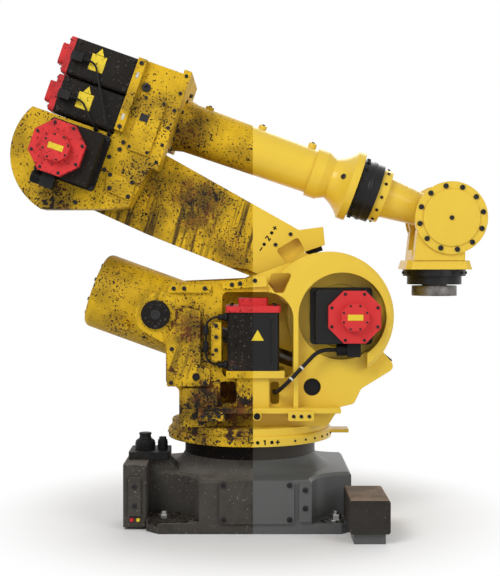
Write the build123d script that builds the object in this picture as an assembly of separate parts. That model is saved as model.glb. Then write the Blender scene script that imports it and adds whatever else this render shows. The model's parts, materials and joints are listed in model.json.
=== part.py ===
from build123d import *
import math
import os

# Six-axis industrial arm. Millimetres, +Z up, +X towards the working side, the near side at -Y.
# The origin is on the turning axis of the turret, at floor level.

# Fits and gaps shared by all pieces
joint_gap = 5.0
running_clearance = 0.1
overrun = 20.0

# Pedestal
foot_width = 700.0
foot_thickness = 35.0
foot_corner = 45.0
anchor_inset = 60.0
anchor_hole_radius = 13.5
pedestal_height = 180.0
pedestal_edge = 10.0
scallop_rear_radius = 180.0
scallop_front_radius = 145.0
collar_height = 46.0
collar_waist_shares = (0.39, 0.154)
collar_margin = 25.0
neck_radius = 235.0
neck_height = 50.0
cover_width = 250.0
cover_gap = 16.0
cover_height = 145.0
cover_thickness = 8.0
cover_corner = 12.0
strip_width = 42.0
strip_height = 130.0
strip_thickness = 10.0
strip_round = 5.0
gusset_length = 60.0
gusset_slope = 50.0
gusset_width = 110.0

# Connector box on the rear flank of the pedestal, and the plugs on it
box_length = 80.0
box_width = 210.0
box_height = 212.0
box_foot = 8.0
box_setback = 60.0
box_edge = 8.0
plug_block_length = 140.0
plug_block_width = 150.0
plug_block_height = 26.0
plug_block_edge = 10.0
plug_radius = 34.0
plug_height = 58.0
plug_neck_radius = 20.0
plug_small_radius = 17.0
plug_small_height = 33.0
plug_inset = 18.0

# Square outrigger tube on the front flank
outrigger_width = 130.0
outrigger_height = 108.0
outrigger_length = 240.0
outrigger_foremost = 495.0
outrigger_lap = 30.0
outrigger_edge = 8.0
outrigger_pad_inset = 14.0
outrigger_pad_length = 110.0

# Turret: round flange, floor and two side plates
flange_radius = 295.0
flange_thickness = 59.0
rim_thickness = 33.0
flange_step = 13.0
flange_edge = 6.0
lug_reach = 356.0
lug_width = 70.0
lug_rise = 10.0
lug_thickness = 12.0
journal_radius = 150.0
journal_depth = 40.0
floor_thickness = 40.0
plate_gap = 300.0
plate_thickness = 55.0
plate_rear = -290.0
ring_radius = 222.0
ring_shift = 45.0
ring_bore = 150.0
ring_edge = 14.0
ring_height = 45.0
arch_width = 235.0
recess_depth = 30.0
plate_round = 22.0
plate_shares = [(0.055, 0.0), (0.055, 0.23), (0.0, 0.23), (0.0, 0.82), (0.326, 0.84), (0.52, 0.94),
                (0.80, 0.60), (0.96, 0.337), (0.814, 0.213), (0.785, 0.128), (0.725, 0.108), (0.675, 0.0)]
window_round = 20.0
window_arch = 92.0
motor_window_shares = [(0.235, 0.769), (0.53, 0.769)]
peep_window_shares = [(0.44, 0.875), (0.525, 0.878), (0.49, 0.765), (0.455, 0.765), (0.425, 0.82)]
peep_round = 9.0
rear_slot_shares = [(0.226, 0.125), (0.292, 0.125)]
cable_slot_shares = [(0.435, 0.125), (0.472, 0.125)]
slot_margin = 15.0
slot_round = 10.0
cable_hole_radius = 30.0
cable_hole_shares = (0.61, 0.224)
shelf_thickness = 25.0
shelf_margin = 14.0
rear_pad_shares = [(0.005, 0.765), (0.19, 0.765), (0.19, 0.815), (0.02, 0.81)]
top_pad_shares = [(0.235, 0.785), (0.42, 0.80), (0.42, 0.865), (0.235, 0.825)]
pad_thickness = 12.0
bracket_shares = [(0.075, 0.685), (0.005, 0.50), (0.005, 0.23), (0.185, 0.23), (0.185, 0.335), (0.145, 0.345),
                  (0.145, 0.66)]
bracket_thickness = 18.0
strut_shares = (0.19, 0.232)
strut_inset = 32.3
strut_thickness = 36.0
post_shares = [(0.07, 0.0), (0.215, 0.0), (0.215, 0.22), (0.07, 0.22)]
column_shares = [(0.297, 0.10), (0.43, 0.10)]
column_thickness = 24.0
ledge_shares = [(0.138, 0.085), (0.725, 0.085), (0.725, 0.115), (0.138, 0.115)]
ledge_depth = 62.0
ledge_pad_shares = [(0.507, 0.045), (0.613, 0.045), (0.613, 0.10), (0.507, 0.10)]
rear_ledge_pad_shares = [(0.138, 0.045), (0.248, 0.045), (0.248, 0.10), (0.138, 0.10)]
ledge_pad_depth = 74.0
ledge_boss_radius = 15.0
ledge_boss_shares = (0.38, 0.072)
feature_round = 6.0

# Turret motor that stands in the window of the near plate
turret_motor_length = 178.0
turret_motor_width = 165.0
turret_motor_height = 200.0
turret_motor_headroom = 21.4
turret_motor_edge = 16.0
turret_motor_inner = 78.0
turret_motor_rear_gap = 18.0
motor_cap_thickness = 22.0
motor_cap_lip = 5.0
encoder_height = 26.0
encoder_share = 0.58

# Shoulder axis and lower arm
shoulder_reach = 315.0
shoulder_height = 720.0
arm_length = 1070.0
arm_rise = 31.0
arm_width = 220.0
hub_width = 270.0
hub_radius = 185.0
hub_core_radius = 85.0
crank_slot = 72.0
shoulder_journal = 110.0
elbow_end_radius = 150.0
arm_upper_shares = [(0.0, 0.138), (0.10, 0.152), (0.29, 0.158), (0.742, 0.171), (0.805, 0.221),
                    (0.841, 0.173), (0.794, 0.117), (0.93, 0.13)]
arm_pocket_shares = [(0.711, 0.075), (0.751, 0.149), (0.793, 0.124), (0.771, 0.053)]
arm_pocket_depth = 30.0
arm_pocket_round = 10.0
arm_relief_shares = (0.706, -0.195)
arm_relief_radius = 183.0
arm_relief_depth = 16.0
bumper_shares = [(0.802, 0.126), (0.835, 0.166), (0.847, 0.156), (0.814, 0.116)]
bumper_width = 120.0
arm_lower_shares = [(0.84, -0.06), (0.68, -0.042), (0.32, -0.099), (0.10, -0.125)]
crank_radius = 220.0
crank_angle = 249.0
crank_boss = 46.0
crank_cheek = 30.0

# Balancer: a drum on trunnions at the back of the turret, with its rod
trunnion_rear = 325.0
trunnion_rise = 5.0
trunnion_radius = 40.0
trunnion_boss = 62.0
lug_radius = 72.0
drum_drop = 20.0
drum_radius = 136.0
drum_rear = 248.0
drum_front = 175.0
drum_round = 26.0
drum_bore_depth = 370.0
rod_radius = 26.0
rod_inner = 50.0
rod_reach = 605.0
rod_eye_radius = 42.0
rod_eye_width = 40.0
rod_pin_radius = 20.0
cap_radius = 50.0
cap_thickness = 12.0

# Side motors of the shoulder and the elbow: square body, eight-sided cap and encoder
side_motor_size = 182.0
side_motor_edge = 14.0
side_motor_length = 92.0
side_cap_radius = 96.0
side_cap_thickness = 26.0
side_encoder_radius = 50.0
side_encoder_thickness = 24.0
side_cap_shift = 38.0
side_flange_length = 214.0
side_flange_height = 196.0
side_flange_thickness = 24.0
side_plug_size = 46.0
side_plug_radius = 19.0
side_plug_length = 58.0
bearing_cover_radius = 150.0
bearing_cover_thickness = 20.0

# Elbow casting, in the frame of the forearm
forearm_drop = 19.5
forearm_offset = 240.0
forearm_length = 1305.0
elbow_radius = 215.0
elbow_plate_inner = 125.0
elbow_plate_outer = 235.0
elbow_far = 130.0
elbow_journal = 90.0
elbow_journal_length = 60.0
elbow_back = 105.0
elbow_front = 262.0
elbow_top = 385.0
elbow_under = 172.0
elbow_shelf = 110.0
elbow_chin = -105.0
elbow_toe = 236.0
chin_drop = 184.0
mount_bar_width = 30.0
mount_bar_rise = 128.0
mount_bar_thickness = 22.0
screw_plate_shares = [(0.55, -0.30), (0.90, -0.32), (0.89, -0.05), (0.49, -0.05)]
lid_plate_shares = [(0.62, 0.30), (0.93, 0.30), (0.93, 1.05), (0.62, 1.05)]
screw_plate_thickness = 9.0
gear_flange_thickness = 26.0
gear_flange_top = 400.0
gear_flange_under = 138.0
gear_flange_chin = 45.0

# Wrist motors behind the elbow
wrist_motor_length = 218.0
wrist_motor_width = 122.0
wrist_motor_height = 128.0
wrist_motor_gap = 7.0
wrist_motor_edge = 12.0
wrist_motor_outer = 248.0
wrist_cap_thickness = 20.0
wrist_encoder_thickness = 26.0
far_motor_rise = 205.0
far_motor_inner = 2.0

# Plugs on the motors and the cables held between housings
motor_plug_length = 42.0
motor_plug_height = 30.0
motor_plug_thickness = 26.0
motor_plug_inset = 2.0
motor_plug_round = 5.0
cable_radius = 7.0
cable_bend = 75.0
motor_cable_radius = 4.0
motor_cable_bend = 40.0
thin_cable_radius = 3.5
thin_cable_bend = 36.0
cable_lift = 38.0
cable_lead = 60.0

# Forearm tube, as radius and station along its axis from the gear flange
tube_root_radius = 98.0
tube_rear_radius = 88.0
tube_front_radius = 80.0
tube_root_length = 40.0
band_station = 790.0
band_length = 40.0
band_radius = 90.0
throat_radius = 74.0
throat_station = 862.0
bell_radius = 128.0
bell_station = 928.0
bell_end = 956.0
boss_radius = 15.0
boss_rise = 8.0
boss_shares = (0.282, 0.4375, 0.584)

# Wrist: roll ring, collar and neck, then the pitch housing and the tool flange
roll_ring_radius = 106.0
roll_ring_length = 74.0
roll_journal_radius = 60.0
roll_journal_length = 40.0
collar_radius = 96.0
collar_length = 34.0
wrist_neck_radius = 60.0
wrist_neck_root = 74.0
wrist_boss_radius = 92.0
wrist_boss_width = 116.0
pitch_cover_radius = 128.0
pitch_cover_lid = 100.0
pitch_cover_lid_height = 5.0
pitch_cover_width = 58.0
pitch_pin_radius = 40.0
pitch_pin_length = 30.0
pitch_bridge_length = 180.0
pitch_bridge_top = 112.0
pitch_plate_width = 236.0
pitch_plate_slope = 16.0
pitch_plate_top = 150.0
pitch_plate_thickness = 32.0
pitch_plate_edge = 18.0
reducer_radius = 113.0
reducer_step_radius = 98.0
reducer_length = 54.0
reducer_step = 30.0
tool_setback = 40.0
tool_radius = 81.0
tool_length = 36.0
tool_spigot_radius = 45.0
tool_spigot_length = 26.0
tool_bolt_circle = 125.0
tool_bolt_count = 6
tool_bolt_radius = 5.25
tool_recess_radius = 40.0
tool_recess_depth = 8.0

# Places worked out from the sizes above
half_foot = foot_width / 2
collar_root_radius = half_foot - collar_margin
anchor_spacing = foot_width - 2 * anchor_inset
collar_top = pedestal_height + collar_height
neck_top = collar_top + neck_height
flange_base = neck_top + joint_gap
flange_top = flange_base + flange_thickness
half_gap = plate_gap / 2
plate_outer = half_gap + plate_thickness
ring_face = plate_outer + ring_height
recess_floor = plate_outer - recess_depth
plate_length = shoulder_reach + ring_radius - plate_rear
plate_height = shoulder_height + ring_radius - flange_top
trunnion_height = shoulder_height + trunnion_rise
elbow_reach = shoulder_reach - arm_length * math.cos(math.radians(arm_rise))
elbow_height = shoulder_height + arm_length * math.sin(math.radians(arm_rise))


def frame_at(x, z, angle):
    """Frame across the machine: first axis raised by angle degrees, normal towards the near side."""
    turn = math.radians(angle)
    return Plane(origin=(x, 0, z), x_dir=(math.cos(turn), 0, math.sin(turn)), z_dir=(0, -1, 0))


row_frame = frame_at(0, 0, 0)
shoulder_frame = frame_at(shoulder_reach, shoulder_height, 0)
arm_frame = frame_at(elbow_reach, elbow_height, -arm_rise)
elbow_frame = frame_at(elbow_reach, elbow_height, -forearm_drop)
forearm_start = elbow_frame.from_local_coords((0, forearm_offset, 0))
forearm_axis = elbow_frame.x_dir
wrist_centre = forearm_start + forearm_axis * forearm_length
wrist_frame = frame_at(wrist_centre.X, wrist_centre.Z, 0)
tool_origin = wrist_centre - Vector(tool_setback, 0, 0)
drum_frame = frame_at(-trunnion_rear, trunnion_height, -drum_drop)


def slab(frame, sketch, near, far):
    """Solid with the outline of the sketch, from y = near to y = far."""
    return extrude(frame.offset(-far) * sketch, amount=far - near)


def outline(points, rounding=0):
    """Closed face through the points, with its corners rounded."""
    face = make_face(Polyline(*points, close=True))
    if rounding:
        face = fillet(face.vertices(), rounding)
    return face


def box_at(frame, u, v, length, height, near, far, edge):
    """Block centred on u, v of the frame, with its four long edges rounded."""
    return slab(frame, Pos(u, v) * RectangleRounded(length, height, edge), near, far)


def turned(place, *profile):
    """Solid of revolution about the axis of place, from a closed profile of radius and height."""
    return place * revolve(Plane.XZ * make_face(list(profile)), Axis.Z)


def stack(place, *steps):
    """Coaxial turned steps, each given as start, end and radius."""
    solids = [place * Pos(0, 0, start) * extrude(Circle(radius), amount=end - start)
              for start, end, radius in steps]
    return Part() + solids


def along(origin, direction):
    """Place whose axis leaves origin in the given direction, with its first axis across the machine."""
    return Plane(origin=origin, x_dir=(0, 1, 0), z_dir=direction)


def plate_points(shares):
    """Points of the side plate's outline, from shares of its length and height."""
    return [(plate_rear + u * plate_length, flange_top + v * plate_height) for u, v in shares]


def motor_window():
    """Corners of the motor's window, from its sill up: as tall as the shelf, the motor and the headroom."""
    head = plate_points(motor_window_shares)
    height = (shelf_thickness + turret_motor_height + motor_cap_thickness + encoder_height
              + turret_motor_headroom)
    return [(x, z - height) for x, z in head] + head[::-1]


def below_sill(shares, margin):
    """Corners of an upright feature of the side plate that ends a margin below the sill of the window."""
    foot = plate_points(shares)
    top = motor_window()[0][1] - margin
    return foot + [(x, top) for x, z in foot[::-1]]


def strut_points():
    """Corners of the strut beside the motor, as far from its foot as from its top."""
    foot = motor_window()[0][1] + shelf_thickness + strut_inset
    top = foot + turret_motor_height - 2 * strut_inset
    rear, front = [plate_rear + share * plate_length for share in strut_shares]
    return [(rear, foot), (front, foot), (front, top), (rear, top)]


def pedestal():
    """Cast pedestal with scalloped corners, its covers and the neck under the turret."""
    foot = extrude(chamfer(Rectangle(foot_width, foot_width).vertices(), foot_corner), amount=foot_thickness)
    block = extrude(Rectangle(foot_width, foot_width), amount=pedestal_height)
    for side, radius in ((-half_foot, scallop_rear_radius), (half_foot, scallop_front_radius)):
        scallop = Cylinder(radius, pedestal_height, align=(Align.CENTER, Align.CENTER, Align.MIN))
        block -= Pos(side, -half_foot) * scallop
        block -= Pos(side, half_foot) * scallop
    top_edges = block.edges().group_by(Axis.Z)[-1]
    block = chamfer(top_edges, pedestal_edge)
    waist_radius = neck_radius + collar_waist_shares[0] * (collar_root_radius - neck_radius)
    waist = pedestal_height + collar_waist_shares[1] * collar_height
    collar = turned(Plane.XY,
                    Polyline((0, pedestal_height), (collar_root_radius, pedestal_height)),
                    ThreePointArc((collar_root_radius, pedestal_height), (waist_radius, waist),
                                  (neck_radius, collar_top)),
                    Polyline((neck_radius, collar_top), (0, collar_top), (0, pedestal_height)))
    strip_middle = (foot_thickness + pedestal_height) / 2
    strip_x = half_foot - scallop_front_radius - strip_width / 2
    strip = box_at(row_frame, strip_x, strip_middle, strip_width, strip_height,
                   -half_foot - strip_thickness, -half_foot, strip_round)
    gusset_front = -half_foot + scallop_rear_radius
    gusset_top = box_foot + box_height
    gusset_crest = -half_foot + gusset_length
    gusset_toe = gusset_crest + gusset_slope
    gusset = slab(row_frame, outline([(-half_foot, foot_thickness), (-half_foot, gusset_top),
                                      (gusset_crest, gusset_top),
                                      (gusset_toe, pedestal_height - pedestal_edge),
                                      (gusset_toe, foot_thickness)]),
                  gusset_front, gusset_front + gusset_width)
    casting = foot + block + collar + strip + gusset
    holes = GridLocations(anchor_spacing, anchor_spacing, 2, 2)
    casting -= holes * Cylinder(anchor_hole_radius, foot_thickness + overrun,
                                align=(Align.CENTER, Align.CENTER, Align.MIN))
    casting -= holes * Cylinder(anchor_hole_radius, overrun)
    neck = Pos(0, 0, collar_top) * extrude(Circle(neck_radius) - Circle(journal_radius + running_clearance),
                                           amount=neck_height)
    cover_x = strip_x - (strip_width + cover_width) / 2 - cover_gap
    cover = Pos(cover_x, strip_middle) * RectangleRounded(cover_width, cover_height, cover_corner)
    covers = {}
    for name, near, far in (("base_cover_front", -half_foot - cover_thickness, -half_foot),
                            ("base_cover_rear", half_foot, half_foot + cover_thickness)):
        covers[name] = slab(row_frame, cover, near, far)
    return {"base_casting": casting, "neck_ring": neck, **covers}


def connector_box():
    """Box on the rear flank, and the block beside the pedestal that carries the two supply plugs."""
    middle_x = -half_foot - box_length / 2
    middle_y = -half_foot + box_setback + box_width / 2
    place = Pos(middle_x, middle_y, box_foot)
    box = place * extrude(RectangleRounded(box_length, box_width, box_edge), amount=box_height)
    box += slab(row_frame, Pos(middle_x, box_foot + box_height / 2)
                * RectangleRounded(strip_width, strip_height, strip_round),
                middle_y - box_width / 2 - strip_thickness, middle_y - box_width / 2)
    rear = -half_foot - box_length + box_edge
    seat_y = -half_foot + scallop_rear_radius + gusset_width / 2
    lid = Pos(rear, seat_y, box_foot + box_height)
    block = lid * Pos(plug_block_length / 2, 0) * extrude(
        RectangleRounded(plug_block_length, plug_block_width, plug_block_edge), amount=plug_block_height)
    top = lid * Pos(0, 0, plug_block_height)
    shoulder = plug_height / 2
    tall = stack(top * Pos(plug_inset + plug_radius, 0), (0, shoulder, plug_radius),
                 (shoulder, plug_height, plug_neck_radius))
    small = stack(top * Pos(plug_block_length - plug_inset - plug_small_radius / 2, 0),
                  (0, plug_small_height, plug_small_radius))
    return {"connector_box": box, "harness_plugs": block + tall + small}


def outrigger():
    """Square closed tube that rests on the front corner of the foot and on a pad of its own."""
    middle_x = half_foot - outrigger_lap + outrigger_width / 2
    middle_z = foot_thickness + outrigger_height / 2
    tube = box_at(row_frame, middle_x, middle_z, outrigger_width, outrigger_height,
                  -outrigger_foremost, outrigger_length - outrigger_foremost, outrigger_edge)
    pad_width = outrigger_width - 2 * outrigger_pad_inset
    pad_start = -outrigger_foremost + outrigger_pad_inset
    pad = slab(row_frame, Pos(middle_x, foot_thickness / 2) * Rectangle(pad_width, foot_thickness),
               pad_start, pad_start + outrigger_pad_length)
    return {"outrigger_tube": tube, "outrigger_pads": pad}


def turret_flange():
    """Stepped round flange of the turret with its journal, a lug and the floor between the plates."""
    disc = Pos(0, 0, flange_base) * extrude(Circle(flange_radius), amount=rim_thickness)
    disc = chamfer(disc.edges().group_by(Axis.Z)[-1], flange_edge)
    step = Circle(flange_radius - flange_step)
    disc += Pos(0, 0, flange_base) * extrude(step, amount=flange_thickness)
    lug = extrude(Pos(lug_reach / 2, 0) * Rectangle(lug_reach, lug_width), amount=lug_thickness)
    lug = Pos(0, 0, flange_base + lug_rise) * lug
    journal = Pos(0, 0, flange_base - journal_depth) * extrude(Circle(journal_radius), amount=journal_depth)
    floor_length = (plate_shares[-1][0] - plate_shares[0][0]) * plate_length
    floor_middle = plate_rear + (plate_shares[-1][0] + plate_shares[0][0]) * plate_length / 2
    floor = extrude(Rectangle(floor_length, plate_gap), amount=floor_thickness)
    floor = Pos(floor_middle, 0, flange_top) * floor
    round_floor = Pos(0, 0, flange_top) * extrude(step, amount=floor_thickness)
    return {"turret_flange": disc + lug + journal + (floor & round_floor)}


def side_plate(windows):
    """Side plate, in its near place, with the shoulder ring, the trunnion lug and the given windows."""
    ring_middle = Pos(shoulder_reach - ring_shift, shoulder_height)
    face = outline(plate_points(plate_shares), plate_round)
    face += ring_middle * Circle(ring_radius)
    ear = Pos(-trunnion_rear, trunnion_height) * Circle(lug_radius)
    ear += outline([(-trunnion_rear, trunnion_height + lug_radius),
                    (plate_rear + lug_radius, plate_points(plate_shares)[3][1]),
                    (plate_rear + lug_radius, trunnion_height - 2 * lug_radius),
                    (-trunnion_rear - lug_radius / 2, trunnion_height - lug_radius * math.cos(math.pi / 6))])
    face += ear
    for window in windows:
        face -= window
    face -= Pos(-trunnion_rear, trunnion_height) * Circle(trunnion_radius + running_clearance)
    plate = slab(row_frame, face, -plate_outer, -half_gap)
    rim = slab(row_frame, ring_middle * Circle(ring_radius), -ring_face, -plate_outer)
    rim = chamfer(rim.edges().group_by(Axis.Y)[0], ring_edge)
    arch_height = shoulder_height - flange_top
    arch = Pos(shoulder_reach - ring_bore + arch_width / 2, flange_top + arch_height / 2)
    rim -= slab(row_frame, arch * Rectangle(arch_width, arch_height), -ring_face, -plate_outer)
    rim -= slab(shoulder_frame, Circle(ring_bore), -ring_face, -plate_outer)
    for window in windows:
        rim -= slab(row_frame, window, -ring_face, -plate_outer)
    plate += rim
    plate -= slab(shoulder_frame, Circle(ring_bore), -plate_outer, -recess_floor)
    journal_bore = Circle(shoulder_journal + running_clearance)
    plate -= slab(shoulder_frame, journal_bore, -plate_outer, -half_gap)
    return plate


def plate_features():
    """Raised pads, bracket, strut, post, column, rib and ledge on the near plate."""
    raised = [(plate_points(rear_pad_shares), pad_thickness), (plate_points(top_pad_shares), pad_thickness),
              (plate_points(bracket_shares), bracket_thickness),
              (plate_points(post_shares), column_thickness), (plate_points(ledge_shares), ledge_depth),
              (plate_points(ledge_pad_shares), ledge_pad_depth),
              (plate_points(rear_ledge_pad_shares), ledge_pad_depth),
              (strut_points(), strut_thickness), (below_sill(column_shares, 0), column_thickness)]
    solids = []
    for points, height in raised:
        face = outline(points, feature_round)
        solids.append(slab(row_frame, face, -plate_outer - height, -plate_outer))
    boss = plate_points([ledge_boss_shares])[0]
    solids.append(slab(row_frame, Pos(*boss) * Circle(ledge_boss_radius), -plate_outer - ledge_pad_depth,
                       -plate_outer))
    rib_rear = motor_window()[1][0]
    rib_front = shoulder_reach - ring_bore
    rib_foot = plate_points(ledge_shares)[2][1]
    rib = outline([(rib_rear, rib_foot), (rib_front, rib_foot), (rib_front, shoulder_height),
                   (rib_rear, shoulder_height)])
    solids.append(slab(row_frame, rib, -ring_face, -plate_outer))
    return solids


def turret():
    """Turret casting: flange, two side plates, motor shelf, trunnion caps and bearing cover."""
    peep = outline(plate_points(peep_window_shares), peep_round)
    opening = outline(motor_window())
    corner = opening.vertices().group_by(Axis.Y)[-1].sort_by(Axis.X)[-1]
    opening = fillet(corner, window_arch) & outline(motor_window(), window_round)
    slots = [outline(below_sill(shares, slot_margin), slot_round)
             for shares in (rear_slot_shares, cable_slot_shares)]
    hole = Pos(*plate_points([cable_hole_shares])[0]) * Circle(cable_hole_radius)
    near = side_plate([peep, opening, hole] + slots)
    for feature in plate_features():
        near += feature
    far = mirror(side_plate([peep]), about=Plane.XZ)
    window = motor_window()
    shelf_rear = window[0][0] + shelf_margin
    shelf_top = window[0][1] + shelf_thickness
    shelf_length = turret_motor_length + 2 * turret_motor_rear_gap - shelf_margin
    shelf = slab(row_frame, Pos(shelf_rear + shelf_length / 2, shelf_top - shelf_thickness / 2)
                 * Rectangle(shelf_length, shelf_thickness),
                 -turret_motor_inner - turret_motor_width, -turret_motor_inner)
    caps = {}
    for name, near_y, far_y in (("trunnion_cap_near", -plate_outer - cap_thickness, -plate_outer),
                                ("trunnion_cap_far", plate_outer, plate_outer + cap_thickness)):
        caps[name] = slab(drum_frame, Circle(cap_radius), near_y, far_y)
    cover = slab(shoulder_frame, Circle(bearing_cover_radius), recess_floor,
                 recess_floor + bearing_cover_thickness)
    return {**turret_flange(), "turret_near_plate": near + shelf, "turret_far_plate": far,
            "shoulder_bearing_cover": cover, **caps}


def turret_motor():
    """Upright motor in the window of the near plate, with its cap and encoder."""
    window = motor_window()
    shelf_top = window[0][1] + shelf_thickness
    place = Pos(window[0][0] + turret_motor_rear_gap + turret_motor_length / 2,
                -turret_motor_inner - turret_motor_width / 2, shelf_top)
    body = place * extrude(RectangleRounded(turret_motor_length, turret_motor_width, turret_motor_edge),
                           amount=turret_motor_height)
    cap_place = place * Pos(0, 0, turret_motor_height)
    cap = cap_place * extrude(RectangleRounded(turret_motor_length + 2 * motor_cap_lip,
                                               turret_motor_width + 2 * motor_cap_lip, turret_motor_edge),
                              amount=motor_cap_thickness)
    encoder = cap_place * Pos(0, 0, motor_cap_thickness) * extrude(
        RectangleRounded(turret_motor_length * encoder_share, turret_motor_width * encoder_share,
                         turret_motor_edge), amount=encoder_height)
    return {"turret_motor": body, "turret_motor_cap": cap + encoder}


def side_motor(name, frame, shift, seat):
    """Motor lying across the machine on a seat at y = -seat, with its flange, cap, encoder and plug."""
    back = seat + side_motor_length
    body = box_at(frame, 0, 0, side_motor_size, side_motor_size, -back, -seat, side_motor_edge)
    body += box_at(frame, 0, 0, side_flange_length, side_flange_height, -seat - side_flange_thickness, -seat,
                   side_motor_edge)
    front = back + side_cap_thickness
    eighth = 360 / 16
    cap = slab(frame, Pos(shift, 0) * RegularPolygon(side_cap_radius, 8, rotation=eighth), -front, -back)
    cap += slab(frame, Pos(shift, 0) * RegularPolygon(side_encoder_radius, 8, rotation=eighth),
                -front - side_encoder_thickness, -front)
    plug_v = -side_motor_size / 2 - side_plug_size / 2
    plug = box_at(frame, shift, plug_v, side_plug_size, side_plug_size, -back, -back + side_plug_size,
                  motor_plug_round)
    tail = Plane(origin=frame.from_local_coords((shift, plug_v, back - side_plug_size / 2)), x_dir=(0, 1, 0),
                 z_dir=-frame.x_dir)
    plug += stack(tail, (0, side_plug_length, side_plug_radius))
    return {name: body, name + "_cap": cap, name + "_plug": plug}


def cable(points, radius, bend):
    """Round cable along straight runs joined by equal bends."""
    line = FilletPolyline(*points, radius=bend)
    start = Plane(origin=line @ 0, z_dir=line % 0)
    return sweep(start * Circle(radius), path=line)


def turret_cables():
    """Cables of the shoulder motor and of the turret motor, held on the near plate."""
    lift = ring_face + cable_lift
    plug_z = shoulder_height - side_motor_size / 2 - side_plug_size / 2
    plug_y = recess_floor + side_motor_length - side_plug_size / 2
    slot = below_sill(cable_slot_shares, slot_margin)
    slot_x = (slot[0][0] + slot[1][0]) / 2
    slot_z = (slot[0][1] + slot[2][1]) / 2
    start_x = shoulder_reach + side_cap_shift - side_plug_length
    shoulder_run = cable([(start_x, -plug_y, plug_z), (start_x - cable_lead, -plug_y, plug_z),
                          (slot_x, -lift, slot_z), (slot_x, -half_gap, slot_z)], cable_radius, cable_bend)
    window = motor_window()
    motor_rear = window[0][0] + turret_motor_rear_gap
    motor_y = turret_motor_inner + turret_motor_width - turret_motor_edge
    strut = strut_points()
    high = strut[2][1] + strut_inset / 2
    low = strut[0][1] - 3 * motor_cable_radius
    loop_x = (strut[0][0] + plate_points(bracket_shares)[-1][0]) / 2
    motor_run = cable([(motor_rear, -motor_y, high), (loop_x, -motor_y, high), (loop_x, -motor_y, low),
                       (motor_rear, -motor_y, low)], motor_cable_radius, motor_cable_bend)
    return {"shoulder_motor_cable": shoulder_run, "turret_motor_cable": motor_run}


def balancer():
    """Spring drum on its trunnions, bored for the rod, and the rod with its eye."""
    place = along(drum_frame.origin, drum_frame.x_dir)
    drum = place * Pos(0, 0, -drum_rear) * extrude(Circle(drum_radius), amount=drum_rear + drum_front)
    ends = drum.edges().filter_by(GeomType.CIRCLE)
    drum = fillet(ends, drum_round)
    drum -= place * Pos(0, 0, drum_front - drum_bore_depth) * extrude(Circle(rod_radius + running_clearance),
                                                                      amount=drum_bore_depth + overrun)
    drum += slab(drum_frame, Circle(trunnion_boss), -half_gap + joint_gap, -rod_radius - overrun)
    drum += slab(drum_frame, Circle(trunnion_boss), rod_radius + overrun, half_gap - joint_gap)
    drum += slab(drum_frame, Circle(trunnion_radius), -plate_outer + joint_gap, -half_gap)
    drum += slab(drum_frame, Circle(trunnion_radius), half_gap, plate_outer - joint_gap)
    drum += slab(drum_frame, Circle(trunnion_radius), -half_gap, -half_gap + joint_gap)
    drum += slab(drum_frame, Circle(trunnion_radius), half_gap - joint_gap, half_gap)
    rod = stack(place, (rod_inner, rod_reach, rod_radius))
    eye = slab(drum_frame, Pos(rod_reach, 0) * Circle(rod_eye_radius), -rod_eye_width / 2, rod_eye_width / 2)
    rod = rod + eye
    rod -= slab(drum_frame, Pos(rod_reach, 0) * Circle(rod_pin_radius), -rod_eye_width, rod_eye_width)
    return {"balancer_drum": drum, "balancer_rod": rod}


def lower_arm():
    """Lower arm casting from elbow to shoulder, with the slotted hub and crank cheeks for the balancer."""
    upper = [(u * arm_length, v * arm_length) for u, v in arm_upper_shares]
    lower = [(u * arm_length, v * arm_length) for u, v in arm_lower_shares]
    face = outline(upper + [(arm_length, 0)] + lower + [(0, -elbow_end_radius * math.cos(math.pi / 8))])
    face += Circle(elbow_end_radius)
    arm = slab(arm_frame, face, -arm_width / 2, arm_width / 2)
    hub = Pos(arm_length, 0) * Circle(hub_radius)
    arm += slab(arm_frame, hub, -hub_width / 2, hub_width / 2)
    turn = math.radians(crank_angle)
    pin = (crank_radius * math.cos(turn), crank_radius * math.sin(turn))
    cheek_outer = crank_slot / 2 + crank_cheek
    cheek = Pos(*pin) * Circle(crank_boss)
    cheek += Pos(pin[0] / 2, pin[1] / 2) * Rot(0, 0, crank_angle) * Rectangle(crank_radius, 2 * crank_boss)
    arm += slab(shoulder_frame, cheek, -cheek_outer, cheek_outer)
    slot = Pos(arm_length, 0) * (Circle(crank_radius + 2 * crank_boss) - Circle(hub_core_radius))
    slot &= Pos(arm_length, -arm_length / 2 - rod_radius) * Rectangle(arm_length, arm_length)
    arm -= slab(arm_frame, slot, -crank_slot / 2, crank_slot / 2)
    journal = Pos(arm_length, 0) * Circle(shoulder_journal)
    arm += slab(arm_frame, journal, -recess_floor + joint_gap, -hub_width / 2)
    arm += slab(arm_frame, journal, hub_width / 2, recess_floor - joint_gap)
    journal_end = -arm_width / 2 - elbow_journal_length
    arm += slab(arm_frame, Circle(elbow_journal), journal_end, -arm_width / 2)
    pocket = outline([(u * arm_length, v * arm_length) for u, v in arm_pocket_shares], arm_pocket_round)
    arm -= slab(arm_frame, pocket, -arm_width / 2, -arm_width / 2 + arm_pocket_depth)
    relief_u, relief_v = arm_relief_shares
    relief = Pos(relief_u * arm_length, relief_v * arm_length) * Circle(arm_relief_radius)
    relief -= Pos(arm_length, 0) * Circle(hub_radius)
    arm -= slab(arm_frame, relief, -arm_width / 2, -arm_width / 2 + arm_relief_depth)
    pad = outline([(u * arm_length, v * arm_length) for u, v in bumper_shares])
    bumper = slab(arm_frame, pad, -bumper_width / 2, bumper_width / 2) - arm
    return {"lower_arm_casting": arm, "arm_bumper": bumper}


def elbow_points(shares):
    """Points of a plate on the elbow, from shares of the reach of its front."""
    return [(u * elbow_front, v * elbow_front) for u, v in shares]


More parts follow.
